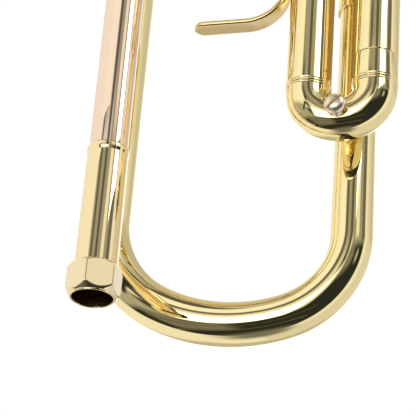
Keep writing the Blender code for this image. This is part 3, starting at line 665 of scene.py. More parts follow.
# %% Casings and caps
KNURL_RIDGES = 72
KNURL_DEPTH = 0.22 * MM
for i, valve_y in enumerate(valve_ys, 1):
    axis = Vector((0, valve_y, 0))
    low, high = ends(f"valve_casing_{i}", "z")
    band = 0.25 * MM
    casing = [
        (CASING_R - 1.2 * MM, low),
        (CASING_R + band, low),
        (CASING_R + band, low + 5 * MM),
        (CASING_R, low + 5.6 * MM),
        (CASING_R, high - 6 * MM),
        (CASING_R + band, high - 5.4 * MM),
        (CASING_R + band, high),
        (CASING_R - 1.2 * MM, high),
    ]
    add(turned(f"casing_tube_{i}", casing, axis, ALONG_Z, 0.3 * MM),
        yellow, "yellow_brass", "body", f"valve_casing_{i}")

    low, high = ends(f"top_cap_{i}", "z")
    cap_r = radius(f"top_cap_{i}")
    hole = 3.3 * MM
    ridge_low, ridge_high = low + 1.5 * MM, low + 4.2 * MM
    cap = [
        (hole, low),
        (cap_r - 0.5 * MM, low),
        (cap_r, low + 0.6 * MM),
        (cap_r, ridge_low - 0.2 * MM),
        (cap_r - 0.3 * MM, ridge_low - 0.1 * MM),
        (cap_r - 0.05 * MM, ridge_low),
        (cap_r - 0.05 * MM, ridge_high),
        (cap_r - 0.3 * MM, ridge_high + 0.1 * MM),
        (cap_r - 0.3 * MM, ridge_high + 0.5 * MM),
        (cap_r - 2.4 * MM, high - 0.5 * MM),
        (cap_r - 3.5 * MM, high - 0.35 * MM),
        (hole + 1.8 * MM, high - 0.5 * MM),
        (hole + 1.2 * MM, high),
        (hole, high),
    ]
    knurl = (KNURL_RIDGES, KNURL_DEPTH, ridge_low - 0.05 * MM, ridge_high + 0.05 * MM)
    add(turned(f"upper_cap_{i}", cap, axis, ALONG_Z, 0.12 * MM, KNURL_RIDGES * 6, knurl),
        yellow, "yellow_brass", "body", f"top_cap_{i}")

    low, high = ends(f"bottom_cap_{i}", "z")
    ridge_low, ridge_high = high - 4.4 * MM, high - 1.4 * MM
    cap = [
        (0, high),
        (cap_r - 0.4 * MM, high),
        (cap_r, high - 0.6 * MM),
        (cap_r, ridge_high + 0.3 * MM),
        (cap_r - 0.3 * MM, ridge_high + 0.1 * MM),
        (cap_r - 0.05 * MM, ridge_high),
        (cap_r - 0.05 * MM, ridge_low),
        (cap_r - 0.3 * MM, ridge_low - 0.1 * MM),
        (cap_r - 0.6 * MM, low + 1.1 * MM),
        (cap_r - 1.4 * MM, low),
        (4.4 * MM, low),
        (3.9 * MM, low + 0.5 * MM),
        (1.5 * MM, low + 0.6 * MM),
        (1.3 * MM, low + 1.8 * MM),
        (0, low + 1.8 * MM),
    ]
    knurl = (KNURL_RIDGES, KNURL_DEPTH, ridge_low - 0.05 * MM, ridge_high + 0.05 * MM)
    add(turned(f"lower_cap_{i}", cap, axis, ALONG_Z, 0.12 * MM, KNURL_RIDGES * 6, knurl),
        yellow, "yellow_brass", "body", f"bottom_cap_{i}")
print("caps", round(2 * cap_r / MM, 1), "mm across with", KNURL_RIDGES, "ridges")

# %% Stems, buttons, pearls and felts
for i, valve_y in enumerate(valve_ys, 1):
    axis = Vector((0, valve_y, 0))
    low, high = ends(f"finger_button_{i}", "z")
    button_r = radius(f"finger_button_{i}")
    pearl_r = radius(f"button_pearl_{i}")
    foot = high - 3.6 * MM
    stem = 2.2 * MM
    button = [
        (0, high - 1.5 * MM),
        (pearl_r + 0.1 * MM, high - 1.5 * MM),
        (pearl_r + 0.1 * MM, high),
        (button_r - 0.5 * MM, high),
        (button_r, high - 0.8 * MM),
        (button_r - 0.2 * MM, high - 1.6 * MM),
        (button_r - 1.8 * MM, foot + 0.5 * MM),
        (stem + 1.1 * MM, foot),
        (stem + 0.9 * MM, foot - 0.9 * MM),
        (stem, foot - 1.2 * MM),
        (stem, low),
        (0, low),
    ]
    add(turned(f"button_{i}", button, axis, ALONG_Z, 0.3 * MM),
        yellow, "yellow_brass", f"valve_{i}", f"finger_button_{i}")
    low, high = ends(f"button_pearl_{i}", "z")
    disc = [
        (0, low),
        (pearl_r, low),
        (pearl_r, high - 0.5 * MM),
        (pearl_r - 0.5 * MM, high - 0.12 * MM),
        (pearl_r * 0.75, high),
        (pearl_r * 0.5, high - 0.1 * MM),
        (pearl_r * 0.25, high - 0.2 * MM),
        (0, high - 0.23 * MM),
    ]
    add(turned(f"pearl_{i}", disc, axis, ALONG_Z, 0.3 * MM, 64),
        pearl, "pearl", f"valve_{i}", f"button_pearl_{i}")
    ring = [
        (stem + 0.02 * MM, foot - 1.42 * MM),
        (stem + 3.4 * MM, foot - 1.42 * MM),
        (stem + 3.4 * MM, foot - 0.65 * MM),
        (stem + 0.02 * MM, foot - 0.65 * MM),
    ]
    add(turned(f"felt_ring_{i}", ring, axis, ALONG_Z, 0.4 * MM, 64), felt, "cork", f"valve_{i}")
    piston = frame["nodes"][f"piston_{i}"]
    piston.data.materials.clear()
    piston.data.materials.append(monel)
print("buttons", round(2 * button_r / MM, 1), "mm across")

# %% [markdown]
# ## The slides
#
# Every valve has a loop of tube of its own, and part of the loop pulls out to tune it. A loop is two
# parallel legs joined by a bow. The line is worked out for half the legs, round a half ellipse, and
# back, and the tube's size steps up where the thin inner leg meets the bow.

# %% A loop of tube


def loop(name, leg, apex, half, other_leg, place, side, finish, slot, body, *nodes, swell=0):
    """leg and other_leg are (distance, radius) pairs; place turns (distance, height) into a point.
    swell is how much wider the bow is at its ends than at its middle."""
    line = [place(along, half) for along, size in leg]
    sizes = [size for along, size in leg]
    start = leg[-1][0]
    for i in range(1, 64):
        t = math.pi / 2 - math.pi * i / 64
        line.append(place(start + (apex - start) * math.cos(t), half * math.sin(t)))
        sizes.append(leg[-1][1] - swell * math.cos(t) ** 2)
    line += [place(along, -half) for along, size in other_leg]
    sizes += [size for along, size in other_leg]
    return add(bent_tube(name, line, sizes, side), finish, slot, body, *nodes)


first_upper = middle("first_slide_upper_sleeve")
first_lower = middle("first_slide_lower_ferrule")
first_mid_z = (first_upper.z + first_lower.z) / 2
first_half = (first_upper.z - first_lower.z) / 2
FIRST_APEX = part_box("first_slide_crook")[0].y + CROOK_R
first_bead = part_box("first_slide_upper_sleeve")[0].y
print("first slide legs", round(2 * first_half / MM, 1), "mm apart")

# %% The first slide
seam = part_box("first_slide_lower_ferrule")[1].y
collar_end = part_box("first_slide_upper_sleeve")[1].y
on_upper = Vector((0, 0, first_upper.z))
on_lower = Vector((0, 0, first_lower.z))
sleeve("first_upper_slide_tube", collar_end, first_bead, on_upper, ALONG_Y, yellow, "yellow_brass",
       "first_slide", "first_slide_upper_sleeve")
sleeve("first_lower_ferrule", seam, first_bead, on_lower, ALONG_Y, yellow, "yellow_brass",
       "first_slide", "first_slide_lower_ferrule")
fixed = [
    (0, valve_ys[0]),
    (SLEEVE_R, valve_ys[0]),
    (SLEEVE_R, collar_end + 0.1 * MM),
    (INNER_R - 0.2 * MM, collar_end + 0.1 * MM),
    (INNER_R - 0.2 * MM, seam - 2 * MM),
    (0, seam - 2 * MM),
]
add(turned("first_upper_inner_tube", fixed, on_upper, ALONG_Y, 0.3 * MM),
    yellow, "yellow_brass", "body", "first_sleeve_upper")
sleeve("first_lower_outer_tube", valve_ys[0], seam + 0.1 * MM, on_lower, ALONG_Y, yellow,
       "yellow_brass", "body", "first_sleeve_lower", beads=0)


def along_y(along, height):
    return Vector((0, along, first_mid_z + height))


bend_y = first_bead - 0.9 * MM
inner_leg = INNER_R - 0.25 * MM
BOW_SWELL = 0.35 * MM
bow_end = CROOK_R + BOW_SWELL
upper_leg = [(first_bead + 8 * MM, inner_leg), (first_bead + 0.2 * MM, inner_leg),
             (first_bead + 0.2 * MM, bow_end), (bend_y, bow_end)]
lower_leg = [(bend_y, bow_end), (first_bead + 0.2 * MM, bow_end),
             (first_bead + 0.2 * MM, inner_leg), (valve_ys[0] - 18 * MM, inner_leg)]
loop("first_slide_bow", upper_leg, FIRST_APEX, first_half, lower_leg, along_y, Vector((1, 0, 0)),
     yellow, "yellow_brass", "first_slide", "first_slide_crook", swell=BOW_SWELL)

# %% [markdown]
# ## The thumb saddle
#
# The left thumb pushes the first slide out through a U of flat strip soldered across the upper leg. Its
# rear arm is tall with a rounded tip, and its edges are polished soft. It is a strip bent round an arc,
# and its width falls away along a quarter ellipse to round the tip.

# %% The saddle
saddle_low, saddle_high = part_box("thumb_saddle")
SADDLE_WIDE = saddle_high.x - saddle_low.x
SADDLE_THICK = 1.75 * MM
base_z = saddle_low.z + SADDLE_THICK / 2
back_y = saddle_low.y + SADDLE_THICK / 2
front_y = saddle_high.y - SADDLE_THICK / 2
saddle_bend = (front_y - back_y) / 2
TIP_STEPS = 14
saddle_line = [
    Vector((0, back_y, saddle_high.z - SADDLE_WIDE / 2 * (1 - math.cos(math.pi / 2 * i / TIP_STEPS))))
    for i in range(TIP_STEPS)
]
saddle_widths = [
    max(SADDLE_WIDE * math.sin(math.pi / 2 * i / TIP_STEPS), 0.7 * MM) for i in range(TIP_STEPS)
]
bend_centre = base_z + saddle_bend
for i in range(13):
    z = saddle_high.z - SADDLE_WIDE / 2 + (bend_centre - saddle_high.z + SADDLE_WIDE / 2) * i / 12
    saddle_line.append(Vector((0, back_y, z)))
    saddle_widths.append(SADDLE_WIDE)
for i in range(1, 49):
    t = math.pi + math.pi * i / 48
    y = back_y + saddle_bend + saddle_bend * math.cos(t)
    saddle_line.append(Vector((0, y, bend_centre + saddle_bend * math.sin(t))))
    saddle_widths.append(SADDLE_WIDE)
front_tip = bend_centre + 8 * MM
for i in range(1, 11):
    saddle_line.append(Vector((0, front_y, bend_centre + (front_tip - bend_centre) * i / 10)))
    saddle_widths.append(SADDLE_WIDE)
for i in range(1, TIP_STEPS):
    t = math.pi / 2 * i / TIP_STEPS
    saddle_line.append(Vector((0, front_y, front_tip + SADDLE_WIDE / 2 * math.sin(t))))
    saddle_widths.append(max(SADDLE_WIDE * math.cos(t), 0.7 * MM))
add(
    strip("thumb_saddle_strip", saddle_line, saddle_widths, [SADDLE_THICK] * len(saddle_line),
          Vector((1, 0, 0))),
    deep, "yellow_brass", "first_slide", "thumb_saddle",
)
print("saddle", round(SADDLE_WIDE / MM, 1), "mm wide")

# %% [markdown]
# ## The screw on the first slide's bow
#
# A small screw with a round slotted head stands on the bow. Its head is turned, and the slot is cut
# right across it with a Boolean, as a saw would cut it.

# %% The screw
screw_low, screw_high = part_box("lyre_screw")
screw_at = Vector((0, middle("lyre_screw").y, middle("lyre_screw").z))
HEAD_R = (screw_high.z - screw_low.z) / 2
head_top = screw_high.x
screw_outline = [
    (0, screw_low.x - 1 * MM),
    (2.6 * MM, screw_low.x - 1 * MM),
    (2.2 * MM, screw_low.x + 0.4 * MM),
    (1.9 * MM, head_top - 2.9 * MM),
    (HEAD_R - 0.25 * MM, head_top - 2.8 * MM),
    (HEAD_R, head_top - 2.4 * MM),
    (HEAD_R, head_top - 1.5 * MM),
    (HEAD_R * 0.86, head_top - 0.7 * MM),
    (HEAD_R * 0.6, head_top - 0.2 * MM),
    (HEAD_R * 0.3, head_top - 0.03 * MM),
    (0, head_top),
]
screw = add(turned("bow_screw", screw_outline, screw_at, ALONG_X, 0.3 * MM, 96),
            champagne, "nickel_silver", "first_slide", "lyre_screw")
SLOT_WIDTH = 0.8 * MM
SLOT_DEPTH = 1.1 * MM
SLOT_TURN = math.radians(45)
cutter_mesh = bpy.data.meshes.new("slot_saw")
saw = bmesh.new()
bmesh.ops.create_cube(saw, size=1)
bmesh.ops.scale(saw, vec=(2 * SLOT_DEPTH, SLOT_WIDTH, 4 * HEAD_R), verts=saw.verts)
saw.to_mesh(cutter_mesh)
saw.free()
cutter = bpy.data.objects.new("slot_saw", cutter_mesh)
bpy.context.scene.collection.objects.link(cutter)
cutter.matrix_world = (
    Matrix.Translation(screw_at + Vector((head_top, 0, 0))) @ Matrix.Rotation(SLOT_TURN, 4, "X")
)
slot_cut = screw.modifiers.new("slot", "BOOLEAN")
slot_cut.operation = "DIFFERENCE"
slot_cut.object = cutter
bpy.context.view_layer.update()
graph = bpy.context.evaluated_depsgraph_get()
cut_mesh = bpy.data.meshes.new_from_object(screw.evaluated_get(graph))
screw.modifiers.clear()
screw.data = cut_mesh
screw.data.set_sharp_from_angle(angle=math.radians(35))
bpy.data.objects.remove(cutter)
print("screw head", round(2 * HEAD_R / MM, 1), "mm across")

# %% [markdown]
# ## The second slide
#
# The second valve's loop is so short that it has no straight legs to hold, so it carries a small turned
# knob to pull it by. It points out to the player's right.

# %% The second slide
second_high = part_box("second_slide_crook")[1]
second_upper = middle("second_sleeve_upper")
second_lower = middle("second_sleeve_lower")
second_half = (second_upper.z - second_lower.z) / 2
second_mid = (second_upper.z + second_lower.z) / 2
second_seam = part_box("second_sleeve_upper")[1].x
for node, place in (("second_sleeve_upper", second_upper), ("second_sleeve_lower", second_lower)):
    at = Vector((0, place.y, place.z))
    sleeve(node + "_tube", 0, second_seam, at, ALONG_X, yellow, "yellow_brass", "body", node, beads=1)


def along_x(along, height):
    return Vector((along, second_upper.y, second_mid + height))


ferrule_start = second_seam + 0.3 * MM
ferrule_end = ferrule_start + 5 * MM
leg = [
    (12.5 * MM, inner_leg),
    (ferrule_start, inner_leg),
    (ferrule_start, SLEEVE_R - 0.15 * MM),
    (ferrule_start + 0.15 * MM, SLEEVE_R),
    (ferrule_end - 0.2 * MM, SLEEVE_R),
    (ferrule_end, SLEEVE_R - 0.2 * MM),
    (ferrule_end, CROOK_R),
]
loop("second_slide_bow", leg, second_high.x - CROOK_R, second_half, list(reversed(leg)), along_x,
     Vector((0, 1, 0)), yellow, "yellow_brass", "second_slide", "second_slide_crook")
knob_low, knob_high = ends("second_slide_knob", "x")
knob_outline = [
    (0, knob_low - 0.8 * MM),
    (2.8 * MM, knob_low - 0.8 * MM),
    (2.4 * MM, knob_low + 0.2 * MM),
    (1.4 * MM, knob_low + 1.3 * MM),
    (1.4 * MM, knob_low + 2.3 * MM),
    (1.9 * MM, knob_low + 2.9 * MM),
    (2.6 * MM, knob_low + 4.0 * MM),
    (2.6 * MM, knob_low + 5.0 * MM),
    (1.9 * MM, knob_low + 6.0 * MM),
    (1.0 * MM, knob_high - 0.1 * MM),
    (0, knob_high),
]
knob_at = Vector((0, middle("second_slide_knob").y, middle("second_slide_knob").z))
add(turned("second_pull_knob", knob_outline, knob_at, ALONG_X, 0.5 * MM, 64),
    nickel, "nickel_silver", "second_slide", "second_slide_knob")
print("second slide reaches", round(second_high.x / MM, 1), "mm out")

# %% [markdown]
# ## The third slide
#
# The longest valve loop lies forward under the leadpipe. The left ring finger pushes it out with a wire
# ring while playing. A thin rod with two nuts runs through a guide below it and stops its travel.

# %% The third slide
third_upper = middle("third_slide_upper_sleeve")
third_lower = middle("third_slide_lower_ferrule")
third_mid = (third_upper.z + third_lower.z) / 2
third_half = (third_upper.z - third_lower.z) / 2
third_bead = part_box("third_slide_upper_sleeve")[1].y
third_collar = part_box("third_slide_upper_sleeve")[0].y
third_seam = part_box("third_slide_lower_ferrule")[0].y
on_upper = Vector((0, 0, third_upper.z))
on_lower = Vector((0, 0, third_lower.z))
sleeve("third_upper_slide_tube", third_collar, third_bead, on_upper, ALONG_Y, yellow,
       "yellow_brass", "third_slide", "third_slide_upper_sleeve")
sleeve("third_lower_ferrule", third_seam, third_bead, on_lower, ALONG_Y, yellow, "yellow_brass",
       "third_slide", "third_slide_lower_ferrule")
fixed = [
    (0, valve_ys[2]),
    (SLEEVE_R, valve_ys[2]),
    (SLEEVE_R, third_collar - 0.1 * MM),
    (INNER_R - 0.2 * MM, third_collar - 0.1 * MM),
    (INNER_R - 0.2 * MM, third_seam + 2 * MM),
    (0, third_seam + 2 * MM),
]
add(turned("third_upper_inner_tube", fixed, on_upper, ALONG_Y, 0.3 * MM),
    yellow, "yellow_brass", "body", "third_sleeve_upper")
sleeve("third_lower_outer_tube", valve_ys[2], third_seam - 0.1 * MM, on_lower, ALONG_Y, yellow,
       "yellow_brass", "body", "third_sleeve_lower", beads=0)


def along_third(along, height):
    return Vector((0, along, third_mid + height))


bend_y = third_bead + 0.9 * MM
upper_leg = [(third_bead - 8 * MM, inner_leg), (third_bead - 0.2 * MM, inner_leg),
             (third_bead - 0.2 * MM, CROOK_R), (bend_y, CROOK_R)]
lower_leg = [(bend_y, CROOK_R), (third_bead - 0.2 * MM, CROOK_R),
             (third_bead - 0.2 * MM, inner_leg), (valve_ys[2] + 20 * MM, inner_leg)]
loop("third_slide_bow", upper_leg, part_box("third_slide_crook")[1].y - CROOK_R, third_half, lower_leg,
     along_third, Vector((1, 0, 0)), yellow, "yellow_brass", "third_slide", "third_slide_crook")

# %% Its finger ring, stop rod and guide
ring_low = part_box("finger_ring")[0]
RING_WIRE = radius("finger_ring")
ring_outer = radius("finger_ring", "z")
ring_outline = [
    (ring_outer - RING_WIRE + RING_WIRE * math.cos(t), RING_WIRE * math.sin(t))
    for t in [2 * math.pi * i / 24 for i in range(24)]
]
ring_at = middle("finger_ring")
add(turned("third_finger_ring", ring_outline, ring_at, ALONG_X, 0),
    yellow, "yellow_brass", "third_slide", "finger_ring")
foot_at = Vector((0, ring_at.y, 0))
ring_foot = [
    (0, third_upper.z + SLEEVE_R - 0.55 * MM),
    (2.6 * MM, third_upper.z + SLEEVE_R - 0.55 * MM),
    (2.3 * MM, third_upper.z + SLEEVE_R + 0.5 * MM),
    (1.6 * MM, ring_low.z + 1.2 * MM),
    (0, ring_low.z + 1.4 * MM),
]
add(turned("finger_ring_foot", ring_foot, foot_at, ALONG_Z, 0.5 * MM, 48),
    yellow, "yellow_brass", "third_slide")

rod_back, rod_front = ends("stop_rod")
rod_at = Vector((0, 0, middle("stop_rod").z))
nut_r = radius("stop_rod", "z")
ROD_R = 1.2 * MM
rod_outline = [
    (0, rod_back),
    (nut_r - 0.3 * MM, rod_back),
    (nut_r, rod_back + 0.5 * MM),
    (nut_r, rod_back + 3.4 * MM),
    (nut_r - 0.4 * MM, rod_back + 4 * MM),
    (ROD_R, rod_back + 4 * MM),
    (ROD_R, rod_front - 5 * MM),
    (nut_r - 0.4 * MM, rod_front - 5 * MM),
    (nut_r, rod_front - 4.4 * MM),
    (nut_r, rod_front - 0.6 * MM),
    (nut_r - 0.5 * MM, rod_front),
    (0, rod_front),
]
add(turned("third_stop_rod", rod_outline, rod_at, ALONG_Y, 0.15 * MM, 48),
    nickel, "nickel_silver", "third_slide", "stop_rod")
rod_foot = [
    (0, rod_at.z),
    (1.3 * MM, rod_at.z),
    (1.3 * MM, third_lower.z - SLEEVE_R - 0.6 * MM),
    (2.2 * MM, third_lower.z - SLEEVE_R + 0.6 * MM),
    (0, third_lower.z - SLEEVE_R + 0.6 * MM),
]
add(turned("stop_rod_foot", rod_foot, Vector((0, rod_front - 2.5 * MM, 0)), ALONG_Z, 0.2 * MM, 48),
    nickel, "nickel_silver", "third_slide")
guide_back, guide_front = ends("stop_rod_guide")
GUIDE_BORE = 1.45 * MM
guide_outline = [
    (GUIDE_BORE, guide_back), (nut_r, guide_back), (nut_r, guide_front), (GUIDE_BORE, guide_front),
]
add(turned("rod_guide", guide_outline, rod_at, ALONG_Y, 0.3 * MM, 48),
    nickel, "nickel_silver", "body", "stop_rod_guide")
guide_foot = [
    (0, rod_at.z + 1.8 * MM),
    (1.3 * MM, rod_at.z + 1.8 * MM),
    (1.5 * MM, third_lower.z - SLEEVE_R - 0.2 * MM),
    (2.4 * MM, third_lower.z - SLEEVE_R + 0.6 * MM),
    (0, third_lower.z - SLEEVE_R + 0.6 * MM),
]
guide_at = Vector((0, (guide_back + guide_front) / 2, 0))
add(turned("rod_guide_foot", guide_foot, guide_at, ALONG_Z, 0.2 * MM, 48),
    nickel, "nickel_silver", "body")
print("finger ring", round(2 * ring_outer / MM, 1), "mm across")

# %% [markdown]
# ## The main tuning slide and water key
#
# The wide bow at the front joins the leadpipe to the lower tube. It pulls forward to tune the whole
# instrument. Under it, a sprung lever holds a cork against a small nipple, to let water out.

# %% The tuning slide
tuning_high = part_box("tuning_crook")[1]
tuning_half = (lead.z - main_low.z) / 2
tuning_mid = (lead.z + main_low.z) / 2
tuning_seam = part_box("tuning_sleeve_upper")[1].y + 0.3 * MM
tuning_ferrule_end = tuning_seam + 10 * MM
TUNING_BEND = tuning_high.y - CROOK_R - tuning_half


def along_tuning(along, height):
    return Vector((lead.x, along, tuning_mid + height))


leg = [
    (tuning_seam - 58 * MM, inner_leg),
    (tuning_seam, inner_leg),
    (tuning_seam, SLEEVE_R - 0.15 * MM),
    (tuning_seam + 0.15 * MM, SLEEVE_R),
    (tuning_ferrule_end - 0.2 * MM, SLEEVE_R),
    (tuning_ferrule_end, SLEEVE_R - 0.2 * MM),
    (tuning_ferrule_end, CROOK_R),
    (TUNING_BEND, CROOK_R),
]
loop("tuning_slide_bow", leg, TUNING_BEND + tuning_half, tuning_half, list(reversed(leg)),
     along_tuning, Vector((1, 0, 0)), yellow, "yellow_brass", "tuning_slide", "tuning_crook")
print("tuning bow", round(2 * tuning_half / MM, 1), "mm across")


# %% A brace, which is a turned rod with a flange soldered at each end


def brace(name, start, end, start_r, end_r, body, *nodes):
    """start and end are on the tubes' axes; start_r and end_r are the tubes' radii."""
    along = (end - start).normalized()
    across = along.cross(Vector((0, 1, 0))).normalized()
    up = along.cross(across)
    a, b = start_r - 1.2 * MM, (end - start).length - end_r + 1.2 * MM
    mid = (a + b) / 2
    outline = [
        (0, a),
        (4.2 * MM, a),
        (4.0 * MM, a + 1.4 * MM),
        (2.4 * MM, a + 2.3 * MM),
        (1.7 * MM, a + 3.4 * MM),
        (1.6 * MM, mid - 2.2 * MM),
        (2.4 * MM, mid - 1.4 * MM),
        (2.6 * MM, mid),
        (2.4 * MM, mid + 1.4 * MM),
        (1.6 * MM, mid + 2.2 * MM),
        (1.7 * MM, b - 3.4 * MM),
        (2.4 * MM, b - 2.3 * MM),
        (4.0 * MM, b - 1.4 * MM),
        (4.2 * MM, b),
        (0, b),
    ]
    axes = (across, up, along)
    return add(turned(name, outline, start, axes, 0.5 * MM, 64), nickel, "nickel_silver", body, *nodes)


for node in ("rear_brace", "front_brace"):
    y = middle(node).y
    on_bell_tube = Vector((bell_axis.x, y, bell_axis.z))
    brace(node + "_rod", Vector((lead.x, y, lead.z)), on_bell_tube, LEAD_R, flare(max(y, BELL_JOINT)),
          "body", node)
brace_y = middle("tuning_brace").y
brace("tuning_brace_rod", Vector((lead.x, brace_y, main_low.z)), Vector((lead.x, brace_y, lead.z)),
      SLEEVE_R, SLEEVE_R, "tuning_slide", "tuning_brace")

# %% The water key's nipple, post, lever, cork, cup and hinge screw
joint = next(j for j in frame["record"]["behaviour"]["joints"] if j["name"] == "water_key_hinge")
print("water key turns about", joint.get("axis"))
cork_mid = middle("water_key_cork")
nipple_mid = middle("water_nipple")
outward = (cork_mid - nipple_mid)
outward.x = 0
outward.normalize()
sideways = Vector((1, 0, 0))
axes = (sideways, outward.cross(sideways), outward)
key_x = middle("water_key_lever").x
nipple = [
    (1.4 * MM, -1.8 * MM),
    (3.4 * MM, -1.8 * MM),
    (3.0 * MM, -0.4 * MM),
    (2.6 * MM, 0.8 * MM),
    (1.4 * MM, 0.8 * MM),
]
add(turned("water_key_nipple", nipple, nipple_mid, axes, 0.3 * MM, 48),
    yellow, "yellow_brass", "tuning_slide", "water_nipple")
CORK_R = radius("water_key_cork")
pad = [(0, -0.95 * MM), (CORK_R - 0.2 * MM, -0.95 * MM), (CORK_R - 0.1 * MM, 1.0 * MM), (0, 1.0 * MM)]
add(turned("water_key_pad", pad, cork_mid, axes, 0.3 * MM, 48), cork, "cork", "water_key", "water_key_cork")
cup = [
    (0, 0.6 * MM),
    (CORK_R + 0.1 * MM, 0.1 * MM),
    (CORK_R + 0.5 * MM, 0.1 * MM),
    (CORK_R + 0.5 * MM, 1.3 * MM),
    (CORK_R - 0.3 * MM, 1.9 * MM),
    (0, 2.0 * MM),
]
add(turned("water_key_cup", cup, cork_mid, axes, 0.25 * MM, 48), yellow, "yellow_brass", "water_key")
lever_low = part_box("water_key_lever")[0]
post_low, post_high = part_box("water_key_post")
pivot = Vector((key_x, middle("water_key_post").y, post_low.z - 1.2 * MM))
cup_back = cork_mid + outward * 1.4 * MM
along_cup = Vector((0, outward.z, -outward.y))
if along_cup.y > 0:
    along_cup = -along_cup
touch_z = lever_low.z + 0.8 * MM
lever_points = [
    cup_back + along_cup * -1.0 * MM,
    cup_back + along_cup * 3.0 * MM,
    Vector((key_x, pivot.y + 2.5 * MM, pivot.z - 0.9 * MM)),
    Vector((key_x, pivot.y - 3 * MM, pivot.z - 1.1 * MM)),
    Vector((key_x, pivot.y - 9 * MM, pivot.z - 1.6 * MM)),
    Vector((key_x, pivot.y - 15 * MM, touch_z + 0.4 * MM)),
    Vector((key_x, lever_low.y + 0.5 * MM, touch_z)),
]


def smooth_line(points, steps):
    """A Catmull-Rom curve through the points."""
    full = [points[0] * 2 - points[1]] + points + [points[-1] * 2 - points[-2]]
    line = []
    for i in range(1, len(full) - 2):
        a, b, c, d = full[i - 1 : i + 3]
        for j in range(steps):
            t = j / steps
            line.append(0.5 * (
                2 * b + (c - a) * t + (2 * a - 5 * b + 4 * c - d) * t**2 + (3 * b - a - 3 * c + d) * t**3
            ))
    return line + [points[-1]]


lever_line = smooth_line(lever_points, 8)
lever_widths, lever_thicks = [], []
for i in range(len(lever_line)):
    part = i / (len(lever_line) - 1)
    width = 2.6 * MM + 2.6 * MM * max(0, (part - 0.55) / 0.45) ** 0.8
    tip = min(1, (1 - part) / 0.1)
    lever_widths.append(width * max(math.sqrt(1 - (1 - tip) ** 2), 0.25))
    lever_thicks.append(1.1 * MM)
add(strip("water_key_arm", lever_line, lever_widths, lever_thicks, Vector((-1, 0, 0))),
    yellow, "yellow_brass", "water_key", "water_key_lever")
post = [
    (0, post_low.z - 0.3 * MM),
    (1.6 * MM, post_low.z - 0.3 * MM),
    (1.7 * MM, post_high.z - 2.0 * MM),
    (2.6 * MM, post_high.z - 0.2 * MM),
    (3.0 * MM, post_high.z + 0.9 * MM),
    (0, post_high.z + 0.9 * MM),
]
add(turned("water_key_saddle", post, Vector((key_x, pivot.y, 0)), ALONG_Z, 0.3 * MM, 48),
    yellow, "yellow_brass", "tuning_slide", "water_key_post")
hinge = [
    (0, -3.1 * MM), (1.5 * MM, -3.1 * MM), (1.5 * MM, -2.5 * MM), (1.1 * MM, -2.3 * MM),
    (1.1 * MM, 2.3 * MM), (1.5 * MM, 2.5 * MM), (1.5 * MM, 3.1 * MM), (0, 3.1 * MM),
]
hinge_at = Vector((key_x, pivot.y, pivot.z))
add(turned("water_key_hinge_screw", hinge, hinge_at, ALONG_X, 0.2 * MM, 48),
    nickel, "nickel_silver", "tuning_slide")

# %% [markdown]
# ## The little finger's hook
#
# A flat strip on the leadpipe curls up into a hook that the right little finger rests in.

# %% The hook
hook_low, hook_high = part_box("finger_hook")
HOOK_WIDE = hook_high.x - hook_low.x
HOOK_THICK = 1.8 * MM
hook_z = hook_low.z + HOOK_THICK / 2
hook_bend = 9 * MM
hook_turn = hook_low.y + 16 * MM
hook_line = [Vector((lead.x, hook_low.y + 16 * MM * i / 16, hook_z)) for i in range(16)]
for i in range(41):
    t = -math.pi / 2 + (math.radians(150) + math.pi / 2) * i / 40
    hook_line.append(Vector((
        lead.x, hook_turn + hook_bend * math.cos(t), hook_z + hook_bend + hook_bend * math.sin(t)
    )))
hook_widths = []
for i in range(len(hook_line)):
    part = i / (len(hook_line) - 1)
    round_off = min(1, part / 0.07, (1 - part) / 0.07)
    curve = math.sqrt(max(1 - (1 - round_off) ** 2, 0.06))
    hook_widths.append(HOOK_WIDE * (1 - 0.35 * part) * curve)
add(strip("little_finger_hook", hook_line, hook_widths, [HOOK_THICK] * len(hook_line), Vector((1, 0, 0))),
    yellow, "yellow_brass", "body", "finger_hook")
hook_foot = [
    (0, lead.z + LEAD_R - 1.2 * MM), (3.6 * MM, lead.z + LEAD_R - 1.2 * MM),
    (3.2 * MM, hook_low.z), (2.9 * MM, hook_low.z + 0.5 * MM), (0, hook_low.z + 0.5 * MM),
]
add(turned("hook_solder_foot", hook_foot, Vector((lead.x, hook_low.y + 8 * MM, 0)), ALONG_Z, 0.4 * MM, 48),
    yellow, "yellow_brass", "body")
print("hook", round(HOOK_WIDE / MM, 1), "mm wide")

# %% [markdown]
# ## The studio
#
# Polished brass has hardly any colour of its own: what the eye reads as gold is the room, seen in a
# tinted mirror. So the room is designed as carefully as the metal. The world is a white room with dark
# gaps, drawn by direction. The camera itself sees plain white behind the instrument.

# %% A room drawn by direction
world = bpy.data.worlds.new("studio")
bpy.context.scene.world = world
world.use_nodes = True
nodes, links = world.node_tree.nodes, world.node_tree.links
room = nodes["Background"]
room.inputs["Strength"].default_value = 1.0


def sum_of(operation, *values):
    """A Math node on sockets or plain numbers; gives its output socket."""
    node = nodes.new("ShaderNodeMath")
    node.operation = operation
    for socket, value in zip(node.inputs, values):
        if isinstance(value, (int, float)):
            socket.default_value = value
        else:
            links.new(value, socket)
    return node.outputs["Value"]


def edge(value, start, end):
    """0 before start, 1 after end, and a soft step between; it falls if end is below start."""
    node = nodes.new("ShaderNodeMapRange")
    node.interpolation_type = "SMOOTHSTEP"
    links.new(value, node.inputs["Value"])
    rising = start < end
    node.inputs["From Min"].default_value = min(start, end)
    node.inputs["From Max"].default_value = max(start, end)
    node.inputs["To Min"].default_value = 0 if rising else 1
    node.inputs["To Max"].default_value = 1 if rising else 0
    return node.outputs["Result"]


